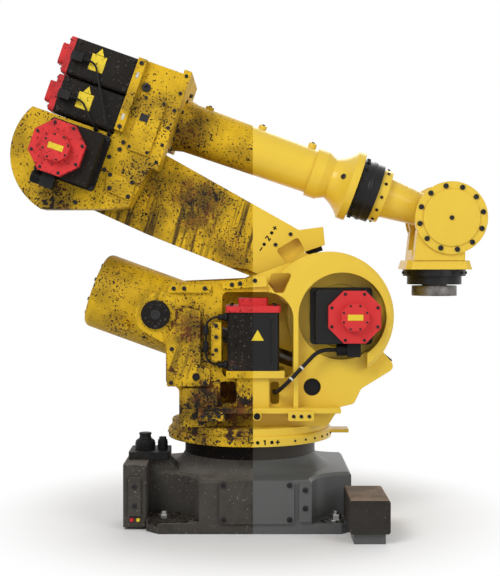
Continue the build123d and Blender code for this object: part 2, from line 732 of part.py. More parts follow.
def elbow():
    """Elbow casting beside and over the end of the lower arm, with the gear flange of the forearm."""
    ear = Pos(0, elbow_shelf - elbow_radius) * Rectangle(2 * elbow_radius, 2 * elbow_radius)
    ear &= Circle(elbow_radius)
    cheek = outline([(0, -elbow_radius), (elbow_toe, elbow_chin), (elbow_front, gear_flange_chin),
                     (elbow_front, elbow_top), (elbow_back, elbow_top), (elbow_back, 0), (0, 0)])
    casting = slab(elbow_frame, ear + cheek, -elbow_plate_outer, -elbow_plate_inner)
    under = Rectangle(4 * elbow_radius, 2 * elbow_radius)
    under = Pos(elbow_reach, elbow_height - chin_drop - elbow_radius) * under
    casting -= slab(row_frame, under, -elbow_plate_outer, -elbow_plate_inner)
    casting -= slab(elbow_frame, Circle(elbow_journal + running_clearance),
                    -arm_width / 2 - elbow_journal_length - joint_gap, -elbow_plate_inner)
    body = outline([(elbow_back, elbow_under), (elbow_front, elbow_under), (elbow_front, elbow_top),
                    (elbow_back, elbow_top)])
    casting += slab(elbow_frame, body, -elbow_plate_inner, elbow_far)
    bar = outline([(elbow_back, mount_bar_rise), (elbow_back + mount_bar_width, mount_bar_rise),
                   (elbow_back + mount_bar_width, elbow_top), (elbow_back, elbow_top)])
    casting += slab(elbow_frame, bar, -elbow_plate_outer - mount_bar_thickness, -elbow_plate_outer)
    for shares in (screw_plate_shares, lid_plate_shares):
        casting += slab(elbow_frame, outline(elbow_points(shares), feature_round),
                        -elbow_plate_outer - screw_plate_thickness, -elbow_plate_outer)
    flange_end = elbow_front + gear_flange_thickness
    cross = [(elbow_front, gear_flange_under), (flange_end, gear_flange_under), (flange_end, gear_flange_top),
             (elbow_front, gear_flange_top)]
    strip = [(elbow_front, gear_flange_chin), (flange_end, gear_flange_chin), (flange_end, gear_flange_under),
             (elbow_front, gear_flange_under)]
    flange = slab(elbow_frame, outline(cross), -elbow_plate_outer, elbow_far)
    flange += slab(elbow_frame, outline(strip), -elbow_plate_outer, -elbow_plate_inner)
    return {"elbow_casting": casting, "gear_flange": flange}


def elbow_cables(rises):
    """Plugs on the near faces of the two near wrist motors, and their cables down to the elbow casting."""
    plugs = []
    runs = []
    rear = elbow_back - wrist_motor_length + motor_plug_inset
    front = rear + motor_plug_length
    plug_w = wrist_motor_outer + motor_plug_thickness / 2
    lift = wrist_motor_outer + cable_lift
    gland_v = (side_flange_height / 2 + elbow_shelf + wrist_motor_gap) / 2
    for rise, end in zip(rises, (elbow_back - wrist_motor_edge, elbow_back - cable_lead)):
        middle = rise + wrist_motor_height / 2
        plugs.append(box_at(elbow_frame, (rear + front) / 2, middle, motor_plug_length, motor_plug_height,
                            -wrist_motor_outer - motor_plug_thickness, -wrist_motor_outer, motor_plug_round))
        spots = ((front, middle, plug_w), (front + motor_plug_length, middle, plug_w), (end, gland_v, lift),
                 (end, gland_v, elbow_plate_outer))
        runs.append(cable([elbow_frame.from_local_coords(spot) for spot in spots], thin_cable_radius,
                          thin_cable_bend))
    return {"wrist_motor_plugs": Part() + plugs, "elbow_cables": Part() + runs}


def wrist_motor(name, rise, near, far):
    """Motor of a wrist axis, lying behind the elbow, with its cap and encoder."""
    back = elbow_back - wrist_motor_length
    middle_v = rise + wrist_motor_height / 2
    middle_y = (near + far) / 2
    place = Plane(origin=elbow_frame.from_local_coords((elbow_back, middle_v, -middle_y)),
                  x_dir=(0, 1, 0), z_dir=-forearm_axis)
    width = far - near
    section = RectangleRounded(width, wrist_motor_height, wrist_motor_edge)
    body = place * extrude(section, amount=wrist_motor_length)
    cap_place = place * Pos(0, 0, wrist_motor_length)
    cap = cap_place * extrude(section, amount=wrist_cap_thickness)
    encoder = cap_place * Pos(0, 0, wrist_cap_thickness) * extrude(
        RectangleRounded(width * encoder_share, wrist_motor_height * encoder_share, wrist_motor_edge),
        amount=wrist_encoder_thickness)
    return {name: body, name + "_cap": cap + encoder}


def forearm():
    """Forearm tube from the gear flange to the bell that carries the roll axis."""
    place = along(forearm_start, forearm_axis)
    start = elbow_front + gear_flange_thickness
    tube = turned(place,
                  Polyline((0, start), (tube_root_radius, start),
                           (tube_rear_radius, start + tube_root_length),
                           (tube_front_radius, band_station), (band_radius, band_station),
                           (band_radius, band_station + band_length), (throat_radius, throat_station)),
                  ThreePointArc((throat_radius, throat_station),
                                ((throat_radius * 2 + bell_radius) / 3, (throat_station + bell_station) / 2),
                                (bell_radius, bell_station)),
                  Polyline((bell_radius, bell_station), (bell_radius, bell_end), (0, bell_end), (0, start)))
    up = elbow_frame.y_dir
    for share in boss_shares:
        station = forearm_start + forearm_axis * (share * forearm_length)
        tube += stack(along(station, up), (0, tube_rear_radius + boss_rise, boss_radius))
    tube -= stack(place, (bell_end - roll_journal_length, bell_end, roll_journal_radius + running_clearance))
    return {"forearm_tube": tube}


def wrist_roll():
    """Roll ring, collar and neck of the wrist, ending in the boss of the pitch axis."""
    place = along(forearm_start, forearm_axis)
    ring_start = bell_end + joint_gap
    ring_end = ring_start + roll_ring_length
    collar_end = ring_end + collar_length
    ring = stack(place, (bell_end - roll_journal_length + joint_gap, ring_start, roll_journal_radius),
                 (ring_start, ring_end, roll_ring_radius))
    collar = stack(place, (ring_end, collar_end, collar_radius))
    neck = turned(place, Polyline((0, collar_end), (wrist_neck_root, collar_end),
                                  (wrist_neck_radius, (collar_end + forearm_length) / 2),
                                  (wrist_neck_radius, forearm_length), (0, forearm_length), (0, collar_end)))
    neck += slab(wrist_frame, Circle(wrist_boss_radius), -wrist_boss_width / 2, wrist_boss_width / 2)
    pin_bore = Circle(pitch_pin_radius + running_clearance)
    neck -= slab(wrist_frame, pin_bore, -wrist_boss_width, wrist_boss_width)
    return {"roll_ring": ring, "roll_collar": collar, "wrist_neck": neck}


def wrist_pitch():
    """Pitch housing that straddles the boss: two covers, the bridge and the flange plate."""
    inner = wrist_boss_width / 2 + joint_gap
    outer = inner + pitch_cover_width
    bridge_rear = -tool_setback - pitch_bridge_length / 2
    bridge_front = -tool_setback + pitch_bridge_length / 2
    drop = outline([(-pitch_cover_radius + 2 * joint_gap, -pitch_cover_radius / 3), (0, 0), (bridge_front, 0),
                    (bridge_front, -pitch_plate_top), (bridge_rear, -pitch_plate_top)])
    cheek = drop + Circle(pitch_cover_radius - joint_gap)
    housing = slab(wrist_frame, cheek, -outer + joint_gap, -inner)
    housing += slab(wrist_frame, cheek, inner, outer - joint_gap)
    bridge_height = pitch_plate_top - pitch_bridge_top
    housing += slab(wrist_frame, Pos(-tool_setback, -pitch_bridge_top - bridge_height / 2)
                    * Rectangle(pitch_bridge_length, bridge_height), -inner, inner)
    housing += slab(wrist_frame, Circle(pitch_pin_radius), -inner, -inner + pitch_pin_length)
    housing += slab(wrist_frame, Circle(pitch_pin_radius), inner - pitch_pin_length, inner)
    down = along(tool_origin, (0, 0, -1))
    seat = pitch_plate_top + pitch_plate_thickness
    wide = chamfer(Rectangle(pitch_plate_width, pitch_plate_width).vertices(), pitch_plate_edge)
    top_width = pitch_plate_width - pitch_plate_slope
    narrow = chamfer(Rectangle(top_width, top_width).vertices(), pitch_plate_edge)
    plate = loft([down * Pos(0, 0, pitch_plate_top) * narrow, down * Pos(0, 0, seat) * wide])
    lid_end = outer + joint_gap + pitch_cover_lid_height
    rim = outer + joint_gap
    near_cover = slab(wrist_frame, Circle(pitch_cover_radius), -rim, -outer + joint_gap)
    near_cover += slab(wrist_frame, Circle(pitch_cover_lid), -lid_end, -rim)
    covers = {"pitch_cover_near": near_cover, "pitch_cover_far": mirror(near_cover, about=Plane.XZ)}
    step = seat + reducer_length - reducer_step
    reducer = stack(down, (seat, step, reducer_radius), (step, seat + reducer_length, reducer_step_radius))
    reducer -= stack(down, (seat, seat + reducer_length, tool_spigot_radius + running_clearance))
    return {"pitch_housing": housing, "flange_plate": plate, "tool_reducer": reducer, **covers}


def tool_flange():
    """Tool flange with its bolt circle, spigot and locating recess."""
    down = along(tool_origin, (0, 0, -1))
    start = pitch_plate_top + pitch_plate_thickness + reducer_length + joint_gap
    end = start + tool_length
    flange = stack(down, (start - joint_gap - tool_spigot_length, start, tool_spigot_radius),
                   (start, end, tool_radius))
    for spot in PolarLocations(tool_bolt_circle / 2, tool_bolt_count):
        hole = spot * Cylinder(tool_bolt_radius, tool_length + joint_gap)
        flange -= down * Pos(0, 0, end - tool_length / 2) * hole
    flange -= stack(down, (end - tool_recess_depth, end, tool_recess_radius))
    return {"tool_flange": flange}


def assembly():
    """All pieces by name."""
    lower_rise = elbow_shelf + wrist_motor_gap
    pieces = {**pedestal(), **connector_box(), **outrigger(), **turret(), **turret_motor(), **balancer(),
              **side_motor("shoulder_motor", shoulder_frame, side_cap_shift, recess_floor),
              **turret_cables(), **lower_arm(), **elbow(),
              **side_motor("elbow_motor", elbow_frame, -side_cap_shift, elbow_plate_outer)}
    near, far = -wrist_motor_outer, -wrist_motor_outer + wrist_motor_width
    rises = {"wrist_motor_upper": lower_rise + wrist_motor_height + wrist_motor_gap,
             "wrist_motor_lower": lower_rise}
    for name, rise in rises.items():
        pieces.update(wrist_motor(name, rise, near, far))
    pieces.update(elbow_cables(rises.values()))
    pieces.update(wrist_motor("wrist_motor_far", far_motor_rise, far_motor_inner,
                              far_motor_inner + wrist_motor_width))
    pieces.update(forearm())
    pieces.update(wrist_roll())
    pieces.update(wrist_pitch())
    pieces.update(tool_flange())
    return pieces


os.makedirs("parts", exist_ok=True)
for name, solid in assembly().items():
    export_step(solid, os.path.join("parts", name + ".step"))
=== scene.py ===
"""Looks of a six-axis industrial arm, with enamel worn on the rear half and renewed on the front half."""
import json
import logging
import math
import random
from dataclasses import dataclass, field
from enum import Enum
from typing import Any, Iterable, Sequence

import bmesh
import bpy
from mathutils import Matrix, Vector
from mathutils.bvhtree import BVHTree


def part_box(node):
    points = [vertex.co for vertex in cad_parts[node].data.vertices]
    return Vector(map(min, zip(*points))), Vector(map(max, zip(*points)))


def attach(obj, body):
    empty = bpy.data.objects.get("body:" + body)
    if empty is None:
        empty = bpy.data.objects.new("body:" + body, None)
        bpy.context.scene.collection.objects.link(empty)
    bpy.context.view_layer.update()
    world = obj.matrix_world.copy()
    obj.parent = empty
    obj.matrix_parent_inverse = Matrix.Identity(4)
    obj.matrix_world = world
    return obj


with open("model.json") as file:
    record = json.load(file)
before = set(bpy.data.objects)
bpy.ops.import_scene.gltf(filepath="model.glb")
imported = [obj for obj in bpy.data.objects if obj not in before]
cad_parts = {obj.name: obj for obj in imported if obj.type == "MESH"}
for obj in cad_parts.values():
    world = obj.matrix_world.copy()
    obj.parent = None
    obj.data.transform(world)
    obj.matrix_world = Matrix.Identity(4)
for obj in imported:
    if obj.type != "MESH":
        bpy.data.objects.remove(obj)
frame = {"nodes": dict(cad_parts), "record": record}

LOG = logging.getLogger("arm")
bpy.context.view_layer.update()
MM = 0.001
OUTSIDE = 2.0
SPLIT = 0.01
ALL_OLD = 9.0
SEAM = 0.0012
SMOOTH_ANGLE = 35.0
SAMPLES = 4
CAP_SHIFT = 38.0 * MM

Triple = tuple[float, float, float]
Colour = Triple
Spot = tuple[float, float]
Spots = tuple[Spot, ...]

RIGHT = Vector((1.0, 0.0, 0.0))
NEAR = Vector((0.0, -1.0, 0.0))
FAR = Vector((0.0, 1.0, 0.0))
UP = Vector((0.0, 0.0, 1.0))
DOWN = Vector((0.0, 0.0, -1.0))

MARK_SIZE = 21.0
MARK_STEPS = tuple(step * MARK_SIZE * MM for step in (-2.1, -1.15, 0.0, 1.15, 2.1))
SIGN_SIZE = 0.9 * MARK_SIZE
STROKE_WIDTH = 0.24 * SIGN_SIZE
DOT_RADIUS = 0.3 * MARK_SIZE
SCREW = ((1.2, 0), (1.2, 0.12), (1, 0.14), (1, 0.774), (0.88, 0.9), (0.54, 0.9), (0.48, 0.36))
WASHER = ((1.55, 0), (1.55, 0.16), (1.5, 0.2))
HEAD = ((1, 0.2), (1, 0.95), (0.88, 1.08))
STUD = ((0.55, 1), (0.55, 1.5), (0.45, 1.6))


class Body(str, Enum):
    """Bodies of the arm that pieces ride on."""

    BASE = "base"
    TURRET = "turret"
    BALANCER = "balancer"
    LOWER_ARM = "lower_arm"
    ELBOW = "elbow"
    ROLL = "wrist_roll"
    PITCH = "wrist_pitch"
    TOOL = "tool"


class Slot(str, Enum):
    """Material slots of the record."""

    YELLOW = "yellow_paint"
    GREY = "grey_paint"
    BLACK = "black_paint"
    RED = "red_cap"
    PLASTIC = "black_plastic"
    STEEL = "bare_steel"


@dataclass(frozen=True)
class Field:
    """A socket of a node tree that takes part in Python sums."""

    graph: "Graph"
    socket: bpy.types.NodeSocket

    def _math(self, operation: str, first: Any, second: Any) -> "Field":
        """Adds one Math node on two values."""
        return self.graph.node("ShaderNodeMath", {"operation": operation}, {0: first, 1: second}, 0)

    def __add__(self, other: Any) -> "Field":
        """Sum of two values."""
        return self._math("ADD", self, other)

    __radd__ = __add__

    def __mul__(self, other: Any) -> "Field":
        """Product of two values."""
        return self._math("MULTIPLY", self, other)

    __rmul__ = __mul__

    def __sub__(self, other: Any) -> "Field":
        """Difference of two values."""
        return self._math("SUBTRACT", self, other)

    def __rsub__(self, other: Any) -> "Field":
        """Difference with this value taken away."""
        return self._math("SUBTRACT", other, self)

    def __or__(self, other: Any) -> "Field":
        """Larger of two values."""
        return self._math("MAXIMUM", self, other)

    __ror__ = __or__

    def __and__(self, other: Any) -> "Field":
        """Smaller of two values."""
        return self._math("MINIMUM", self, other)

    __rand__ = __and__

    def ramp(self, low: float, high: float) -> "Field":
        """Smooth step from 0 at low to 1 at high."""
        return self.graph.node("ShaderNodeMapRange", {"interpolation_type": "SMOOTHSTEP"},
                               {"Value": self, "From Min": low, "From Max": high}, 0)


@dataclass
class Graph:
    """A node tree that nodes are added to."""

    tree: bpy.types.NodeTree

    def node(self, kind: str, settings: dict[str, Any], sockets: dict[Any, Any], output: Any) -> Field:
        """Adds a node.

        Args:
            kind: Type name of the node.
            settings: Attributes that are set first.
            sockets: Values or links of the input sockets.
            output: Name or index of the output that is wanted.

        Returns:
            The wanted output.
        """
        made = self.tree.nodes.new(kind)
        for name, value in settings.items():
            setattr(made, name, value)
        for key, value in sockets.items():
            self.feed(made.inputs[key], value)
        return Field(self, made.outputs[output])

    def feed(self, socket: bpy.types.NodeSocket, value: Any) -> None:
        """Links a field to a socket, or sets the socket's own value."""
        if isinstance(value, Field):
            self.tree.links.new(value.socket, socket)
        elif isinstance(value, tuple) and len(value) == 3 and socket.type == "RGBA":
            socket.default_value = (*value, 1.0)
        else:
            socket.default_value = value


class Shader(Graph):
    """Node tree of one material, with its Principled shader."""

    def __init__(self, name: str) -> None:
        """Makes the named material with a bare Principled shader."""
        self.material = bpy.data.materials.new(name)
        self.material.use_nodes = True
        super().__init__(self.material.node_tree)
        self.surface = self.tree.nodes["Principled BSDF"]
        self.coords = self.node("ShaderNodeTexCoord", {}, {}, "Object")

    def put(self, **inputs: Any) -> None:
        """Feeds the Principled shader; an underscore stands for a space."""
        for name, value in inputs.items():
            self.feed(self.surface.inputs[name.replace("_", " ")], value)

    def noise(self, scale: float, detail: float = 3.0, rough: float = 0.55, vector: Any = None) -> Field:
        """Fractal noise between 0 and 1."""
        return self.node("ShaderNodeTexNoise", {}, {"Vector": vector or self.coords, "Scale": scale,
                                                    "Detail": detail, "Roughness": rough}, "Fac")

    def stretched(self, scale: Triple) -> Field:
        """Object coordinates stretched along the axes."""
        return self.node("ShaderNodeVectorMath", {"operation": "MULTIPLY"}, {0: self.coords, 1: scale}, 0)

    def along(self, axis: int) -> Field:
        """One object coordinate, in metres."""
        return self.node("ShaderNodeSeparateXYZ", {}, {0: self.coords}, axis)

    def behind(self, split: float) -> Field:
        """Mask of what lies behind the split."""
        return self.along(0).ramp(split + SEAM, split - SEAM)

    def facing(self) -> Field:
        """How far the surface looks up, from -1 to 1."""
        normal = self.node("ShaderNodeNewGeometry", {}, {}, "Normal")
        return self.node("ShaderNodeSeparateXYZ", {}, {0: normal}, 2)

    def soft(self, radius: float) -> Field:
        """Normal with its edges rounded by the radius."""
        return self.node("ShaderNodeBevel", {"samples": SAMPLES}, {"Radius": radius}, 0)

    def mix(self, amount: Any, low: Any, high: Any) -> Field:
        """Colour between low and high."""
        return self.node("ShaderNodeMix", {"data_type": "RGBA"}, {0: amount, 6: low, 7: high}, 2)

    def edges(self, radius: float) -> Field:
        """Mask of the edges within about the radius, from a bevelled normal."""
        flat = self.node("ShaderNodeNewGeometry", {}, {}, "Normal")
        likeness = self.node("ShaderNodeVectorMath", {"operation": "DOT_PRODUCT"},
                             {0: self.soft(radius), 1: flat}, "Value")
        return (1.0 - likeness).ramp(0.01, 0.16)

    def hollow(self, distance: float) -> Field:
        """Mask of corners and cavities within the distance."""
        sky = self.node("ShaderNodeAmbientOcclusion", {"samples": SAMPLES}, {"Distance": distance}, "AO")
        return 1.0 - sky

    def relief(self, height: Field, strength: float, distance: float, edge: float) -> None:
        """Sets the normal from a height over softened edges."""
        self.put(Normal=self.node("ShaderNodeBump", {}, {"Strength": strength, "Distance": distance,
                                                         "Height": height, "Normal": self.soft(edge)}, 0))


def shade(colour: Colour, amount: float) -> Colour:
    """Colour made darker or lighter."""
    return tuple(min(1.0, c * amount) for c in colour)


@dataclass(frozen=True)
class Stain:
    """Place on the rear half where wear is heaviest."""

    x: float
    z: float
    radius: float
    strength: float


@dataclass(frozen=True)
class Finish:
    """A finish, by the name of its material."""

    name: str

    def make(self) -> bpy.types.Material:
        """Builds the material."""
        shader = Shader(self.name)
        self.paint(shader)
        return shader.material

    def paint(self, s: Shader) -> None:
        """Feeds the shader, each finish in its own way."""
        raise NotImplementedError


@dataclass(frozen=True)
class Enamel(Finish):
    """Enamel that is renewed ahead of the split and aged behind it."""

    fresh: Colour
    aged: Colour
    chip: Colour = (0.012, 0.009, 0.007)
    # grime colour, which also paints shade in corners and on undersides of the aged paint
    grime_and_shade: Colour = (0.05, 0.027, 0.008)
    rust: Colour = (0.18, 0.06, 0.012)
    specks: float = 0.0
    flakes: float = 0.0
    streaks: float = 0.5
    # weight of the dirty smears and also of the painted shade in corners
    dirt: float = 0.6
    dust: float = 0.0
    gloss: float = 0.3
    mirror: float = 0.18
    split: float = SPLIT
    edge: float = 0.0025
    cast: float = 0.0
    stains: tuple[Stain, ...] = ()

    def paint(self, s: Shader) -> None:
        """Feeds the coats, the chips, the grime, the painted shade in corners and on undersides, and the
        relief.
        """
        old = s.behind(self.split)
        heavy = self._heavy(s)
        patch = s.noise(4.6, 3.0)
        fine = s.noise(150.0, 2.0, 0.6)
        smear = s.noise(8.5, 5.0, 0.62)
        edges = s.edges(0.005)
        corner = s.hollow(0.06)
        facing = s.facing()
        specks = s.noise(135.0, 2.0, 0.55) + patch.ramp(0.36, 0.66) * 0.05 + heavy * 0.11 + edges * 0.03
        flakes = s.noise(36.0, 4.0, 0.66) + heavy * 0.27 + edges * 0.1 + corner * 0.04
        chipped = (specks.ramp(0.676 - self.specks, 0.69 - self.specks)
                   | flakes.ramp(0.775 - self.flakes, 0.79 - self.flakes)) * old
        # grime of the aged paint, plus painted shade on faces that look down
        grime_and_shade = self._grime_and_shade(s, heavy, smear, corner) | (facing.ramp(-0.15, -0.95) * 0.35)
        tint = s.mix(patch, shade(self.fresh, 0.95), shade(self.fresh, 1.05))
        # painted shade: the renewed paint darkened in corners and cavities
        tint = s.mix(corner.ramp(0.35, 1.0) * 0.28, tint, shade(self.fresh, 0.45))
        worn = s.mix(smear.ramp(0.34, 0.7) * 0.6, self.aged, shade(self.aged, 0.66))
        soil_and_shade = s.mix(s.noise(21.0, 3.0).ramp(0.5, 0.66) * heavy, self.grime_and_shade, self.rust)
        # grime colour laid over the aged paint, also where shade is painted
        worn = s.mix(grime_and_shade & 0.93, worn, soil_and_shade)
        settled = facing.ramp(0.55, 0.95) * (0.35 + smear.ramp(0.35, 0.65) * 0.65) * self.dust
        worn = s.mix(settled, worn, self.chip)
        bare = s.mix(s.noise(11.0, 4.0, 0.6).ramp(0.46, 0.62) * heavy, self.chip, shade(self.rust, 0.8))
        colour = s.mix(chipped, s.mix(old, tint, worn), bare)
        rough = self.gloss + old * (0.14 + smear * 0.28) + fine * 0.06
        s.put(Base_Color=colour, Roughness=rough & 0.9, Specular_IOR_Level=self.mirror,
              Coat_Weight=(1.0 - old) * self.mirror * 1.2, Coat_Roughness=0.16)
        skin = s.noise(75.0, 3.0, 0.6) * (0.25 + old * 0.75) * self.cast
        s.relief(fine * 0.22 + (1.0 - chipped) + skin, 0.4, 0.001, self.edge)

    def _heavy(self, s: Shader) -> Field:
        """Mask of the stains, from 0 to 1, with a ragged border."""
        ragged = s.noise(13.0, 4.0, 0.65) - 0.5
        flat = s.stretched((1.0, 0.0, 1.0))
        total = s.node("ShaderNodeValue", {}, {}, 0)
        total.socket.default_value = 0.0
        for stain in self.stains:
            away = s.node("ShaderNodeVectorMath", {"operation": "DISTANCE"},
                          {0: flat, 1: (stain.x, 0.0, stain.z)}, "Value")
            near = (away + ragged * stain.radius).ramp(stain.radius, 0.25 * stain.radius)
            total = total | (near * stain.strength)
        return total

    def _grime_and_shade(self, s: Shader, heavy: Field, smear: Field, corner: Field) -> Field:
        """Mask of streaks and smears, and of painted shade in corners and cavities."""
        across = s.node("ShaderNodeVectorMath", {"operation": "DOT_PRODUCT"},
                        {0: s.coords, 1: (0.96, 0.0, -0.28)}, "Value")
        place = s.node("ShaderNodeCombineXYZ", {}, {0: across * 46.0, 1: 0.0, 2: s.along(2) * 2.2}, 0)
        streak = s.noise(1.0, 4.0, 0.62, place).ramp(0.51 - 0.08 * self.streaks, 0.66 - 0.06 * self.streaks)
        run = s.noise(3.3, 2.0).ramp(0.4, 0.64)
        # the corner term darkens corners and cavities: painted shade
        return ((streak * (run | heavy) * self.streaks) | (smear.ramp(0.52, 0.8) * self.dirt)
                | (corner.ramp(0.25, 0.9) * self.dirt) | (heavy * smear.ramp(0.3, 0.58) * 0.9))


@dataclass(frozen=True)
class Machined(Finish):
    """Bare or blackened steel with an oily, brushed surface."""

    tone: Colour
    stain: Colour
    shine: float
    metal: float = 1.0

    def paint(self, s: Shader) -> None:
        """Feeds the brushed metal and its oil."""
        brushed = s.noise(1.0, 3.0, 0.7, s.stretched((420.0, 420.0, 28.0)))
        oil = s.noise(14.0, 4.0, 0.6)
        colour = s.mix(oil.ramp(0.42, 0.68), self.tone, self.stain)
        s.put(Base_Color=colour, Metallic=self.metal, Roughness=self.shine + brushed * 0.18 + oil * 0.12)
        s.relief(brushed, 0.15, 0.0004, 0.0012)


@dataclass(frozen=True)
class Moulded(Finish):
    """Moulded plastic or rubber with a fine grain, and dust and scuffs behind the split."""

    tone: Colour
    dust: Colour
    shine: float
    dusty: float = 0.5
    split: float = SPLIT

    def paint(self, s: Shader) -> None:
        """Feeds the grain, the dust, the scuffs and the soot."""
        old = s.behind(self.split)
        grain = s.noise(340.0, 2.0)
        cloud = s.noise(11.0, 4.0, 0.62)
        settled = cloud.ramp(0.4, 0.74) * (0.15 + old * 0.85) * self.dusty
        scuff = s.edges(0.004) * old * s.noise(60.0, 2.0).ramp(0.42, 0.62)
        soot = s.noise(95.0, 3.0, 0.65).ramp(0.6, 0.63) * old
        colour = s.mix(settled, self.tone, self.dust)
        colour = s.mix((scuff * 0.7) | (soot * 0.8), colour, shade(self.tone, 0.12))
        rough = self.shine + grain * 0.1 + settled * 0.2
        s.put(Base_Color=colour, Roughness=rough, Specular_IOR_Level=0.15)
        s.relief(grain, 0.2, 0.0004, 0.0018)


class Finishes:
    """The finishes of the arm, made once and shared."""

    fresh: Colour = (0.82, 0.56, 0.052)
    aged: Colour = (0.76, 0.465, 0.014)

    def __init__(self) -> None:
        """Makes every finish."""
        grey = Enamel(
            "grey_enamel", (0.098, 0.102, 0.099), (0.066, 0.06, 0.052), (0.2, 0.18, 0.155),
            (0.022, 0.018, 0.015), (0.09, 0.074, 0.058), -0.02, -0.01, 0.45, 0.8, 0.55, 0.45, cast=5.0,
            stains=(Stain(-0.3, 0.25, 0.14, 0.35),))
        black = Enamel(
            "black_enamel", (0.01, 0.01, 0.0105), (0.011, 0.009, 0.0075), (0.085, 0.068, 0.052),
            (0.03, 0.023, 0.017), (0.15, 0.06, 0.025), 0.0, -0.02, 0.4, 0.55, 0.0, 0.36, 0.14,
            stains=(Stain(-0.06, 0.55, 0.07, 0.55),))
        red = Moulded("red_moulding", (0.68, 0.04, 0.042), (0.3, 0.02, 0.024), 0.34, 0.7)
        plastic = Moulded("black_moulding", (0.009, 0.009, 0.01), (0.04, 0.034, 0.028), 0.45)
        steel = Machined("oiled_steel", (0.2, 0.19, 0.18), (0.045, 0.04, 0.034), 0.28)
        neck = Enamel("neck_enamel", (0.052, 0.045, 0.038), (0.0045, 0.0035, 0.003), (0.06, 0.045, 0.035),
                      gloss=0.45, mirror=0.12)
        tube = Enamel(
            "bare_tube", (0.036, 0.032, 0.028), (0.036, 0.032, 0.028), (0.3, 0.22, 0.16),
            (0.016, 0.013, 0.011), (0.12, 0.07, 0.04), -0.06, -0.06, 0.3, 0.5, 0.9, 0.5, split=ALL_OLD)
        self.by_slot = {
            Slot.YELLOW: self._yellow("yellow_enamel", 0.0, 0.0, 0.45, 0.4), Slot.GREY: grey.make(),
            Slot.BLACK: black.make(), Slot.RED: red.make(), Slot.PLASTIC: plastic.make(),
            Slot.STEEL: steel.make()}
        elbow = self._yellow("elbow_enamel", 0.012, -0.01, 0.25, 0.4, (
            Stain(-0.3, 1.4, 0.14, 0.55), Stain(-0.37, 1.22, 0.11, 0.6), Stain(-0.47, 1.13, 0.1, 0.45),
            Stain(-0.69, 1.11, 0.15, 0.85), Stain(-0.8, 1.34, 0.14, 0.4), Stain(-0.4, 1.45, 0.09, 0.5)))
        turret = self._yellow("turret_enamel", 0.0, 0.0, 0.7, 0.55, (
            Stain(-0.2, 0.69, 0.13, 0.9), Stain(-0.18, 0.58, 0.1, 0.8), Stain(-0.27, 0.52, 0.08, 0.75),
            Stain(-0.15, 0.42, 0.14, 1.0), Stain(-0.05, 0.4, 0.13, 1.0), Stain(-0.24, 0.39, 0.1, 0.8)))
        forearm = self._yellow("forearm_enamel", 0.0, -0.04, 0.3, 0.4, (
            Stain(-0.23, 1.36, 0.15, 0.75), Stain(-0.03, 1.27, 0.12, 0.4)))
        arm = self._yellow("arm_enamel", 0.0, -0.04, 1.0, 0.5, (
            Stain(-0.35, 1.13, 0.2, 0.75), Stain(-0.19, 1.09, 0.19, 0.95), Stain(-0.06, 0.95, 0.13, 0.75)))
        flange = self._yellow("flange_enamel", 0.01, 0.03, 0.6, 0.6, (
            Stain(-0.2, 0.34, 0.15, 0.8), Stain(-0.04, 0.335, 0.1, 0.85)))
        drum = self._yellow("drum_enamel", 0.01, 0.0, 0.2, 0.45, (
            Stain(-0.51, 0.86, 0.15, 0.55), Stain(-0.47, 0.67, 0.09, 0.65), Stain(-0.35, 0.63, 0.1, 0.5)))
        self.by_node = {
            "elbow_casting": elbow, "gear_flange": elbow, "forearm_tube": forearm, "lower_arm_casting": arm,
            "turret_near_plate": turret, "turret_far_plate": turret, "turret_flange": flange,
            "balancer_drum": drum, "neck_ring": neck.make(), "outrigger_tube": tube.make()}
        blackened = Machined("blackened_screw", (0.016, 0.015, 0.015), (0.006, 0.005, 0.005), 0.4, 0.3)
        self.screw = blackened.make()
        self.bright = Machined("zinc_screw", (0.42, 0.41, 0.4), (0.2, 0.19, 0.18), 0.26).make()
        self.tie = Moulded("pale_tie", (0.62, 0.61, 0.58), (0.25, 0.23, 0.2), 0.45).make()
        self.mark = Moulded("black_mark", (0.006, 0.006, 0.006), (0.012, 0.012, 0.012), 0.6, 0.3).make()
        self.plate = Moulded("blank_plate", (0.8, 0.6, 0.04), (0.42, 0.3, 0.03), 0.4, 0.6).make()
        dirt = Moulded("dry_dirt", (0.016, 0.013, 0.01), (0.09, 0.076, 0.06), 0.8, 0.6, ALL_OLD)
        self.crumb = dirt.make()

    def _yellow(self, name: str, specks: float, flakes: float, streaks: float, dirt: float,
                stains: tuple[Stain, ...] = ()) -> bpy.types.Material:
        """Yellow enamel with its own wear."""
        return Enamel(name, self.fresh, self.aged, specks=specks, flakes=flakes, streaks=streaks, dirt=dirt,
                      stains=stains).make()

    def dress(self) -> None:
        """Gives every solid of the frame the finish of its node or slot."""
        slots = {row["node"]: row["material_slot"] for row in frame["record"]["subparts"]}
        for name, piece in frame["nodes"].items():
            piece.data.materials.clear()
            piece.data.materials.append(self.by_node.get(name, self.by_slot[Slot(slots[name])]))


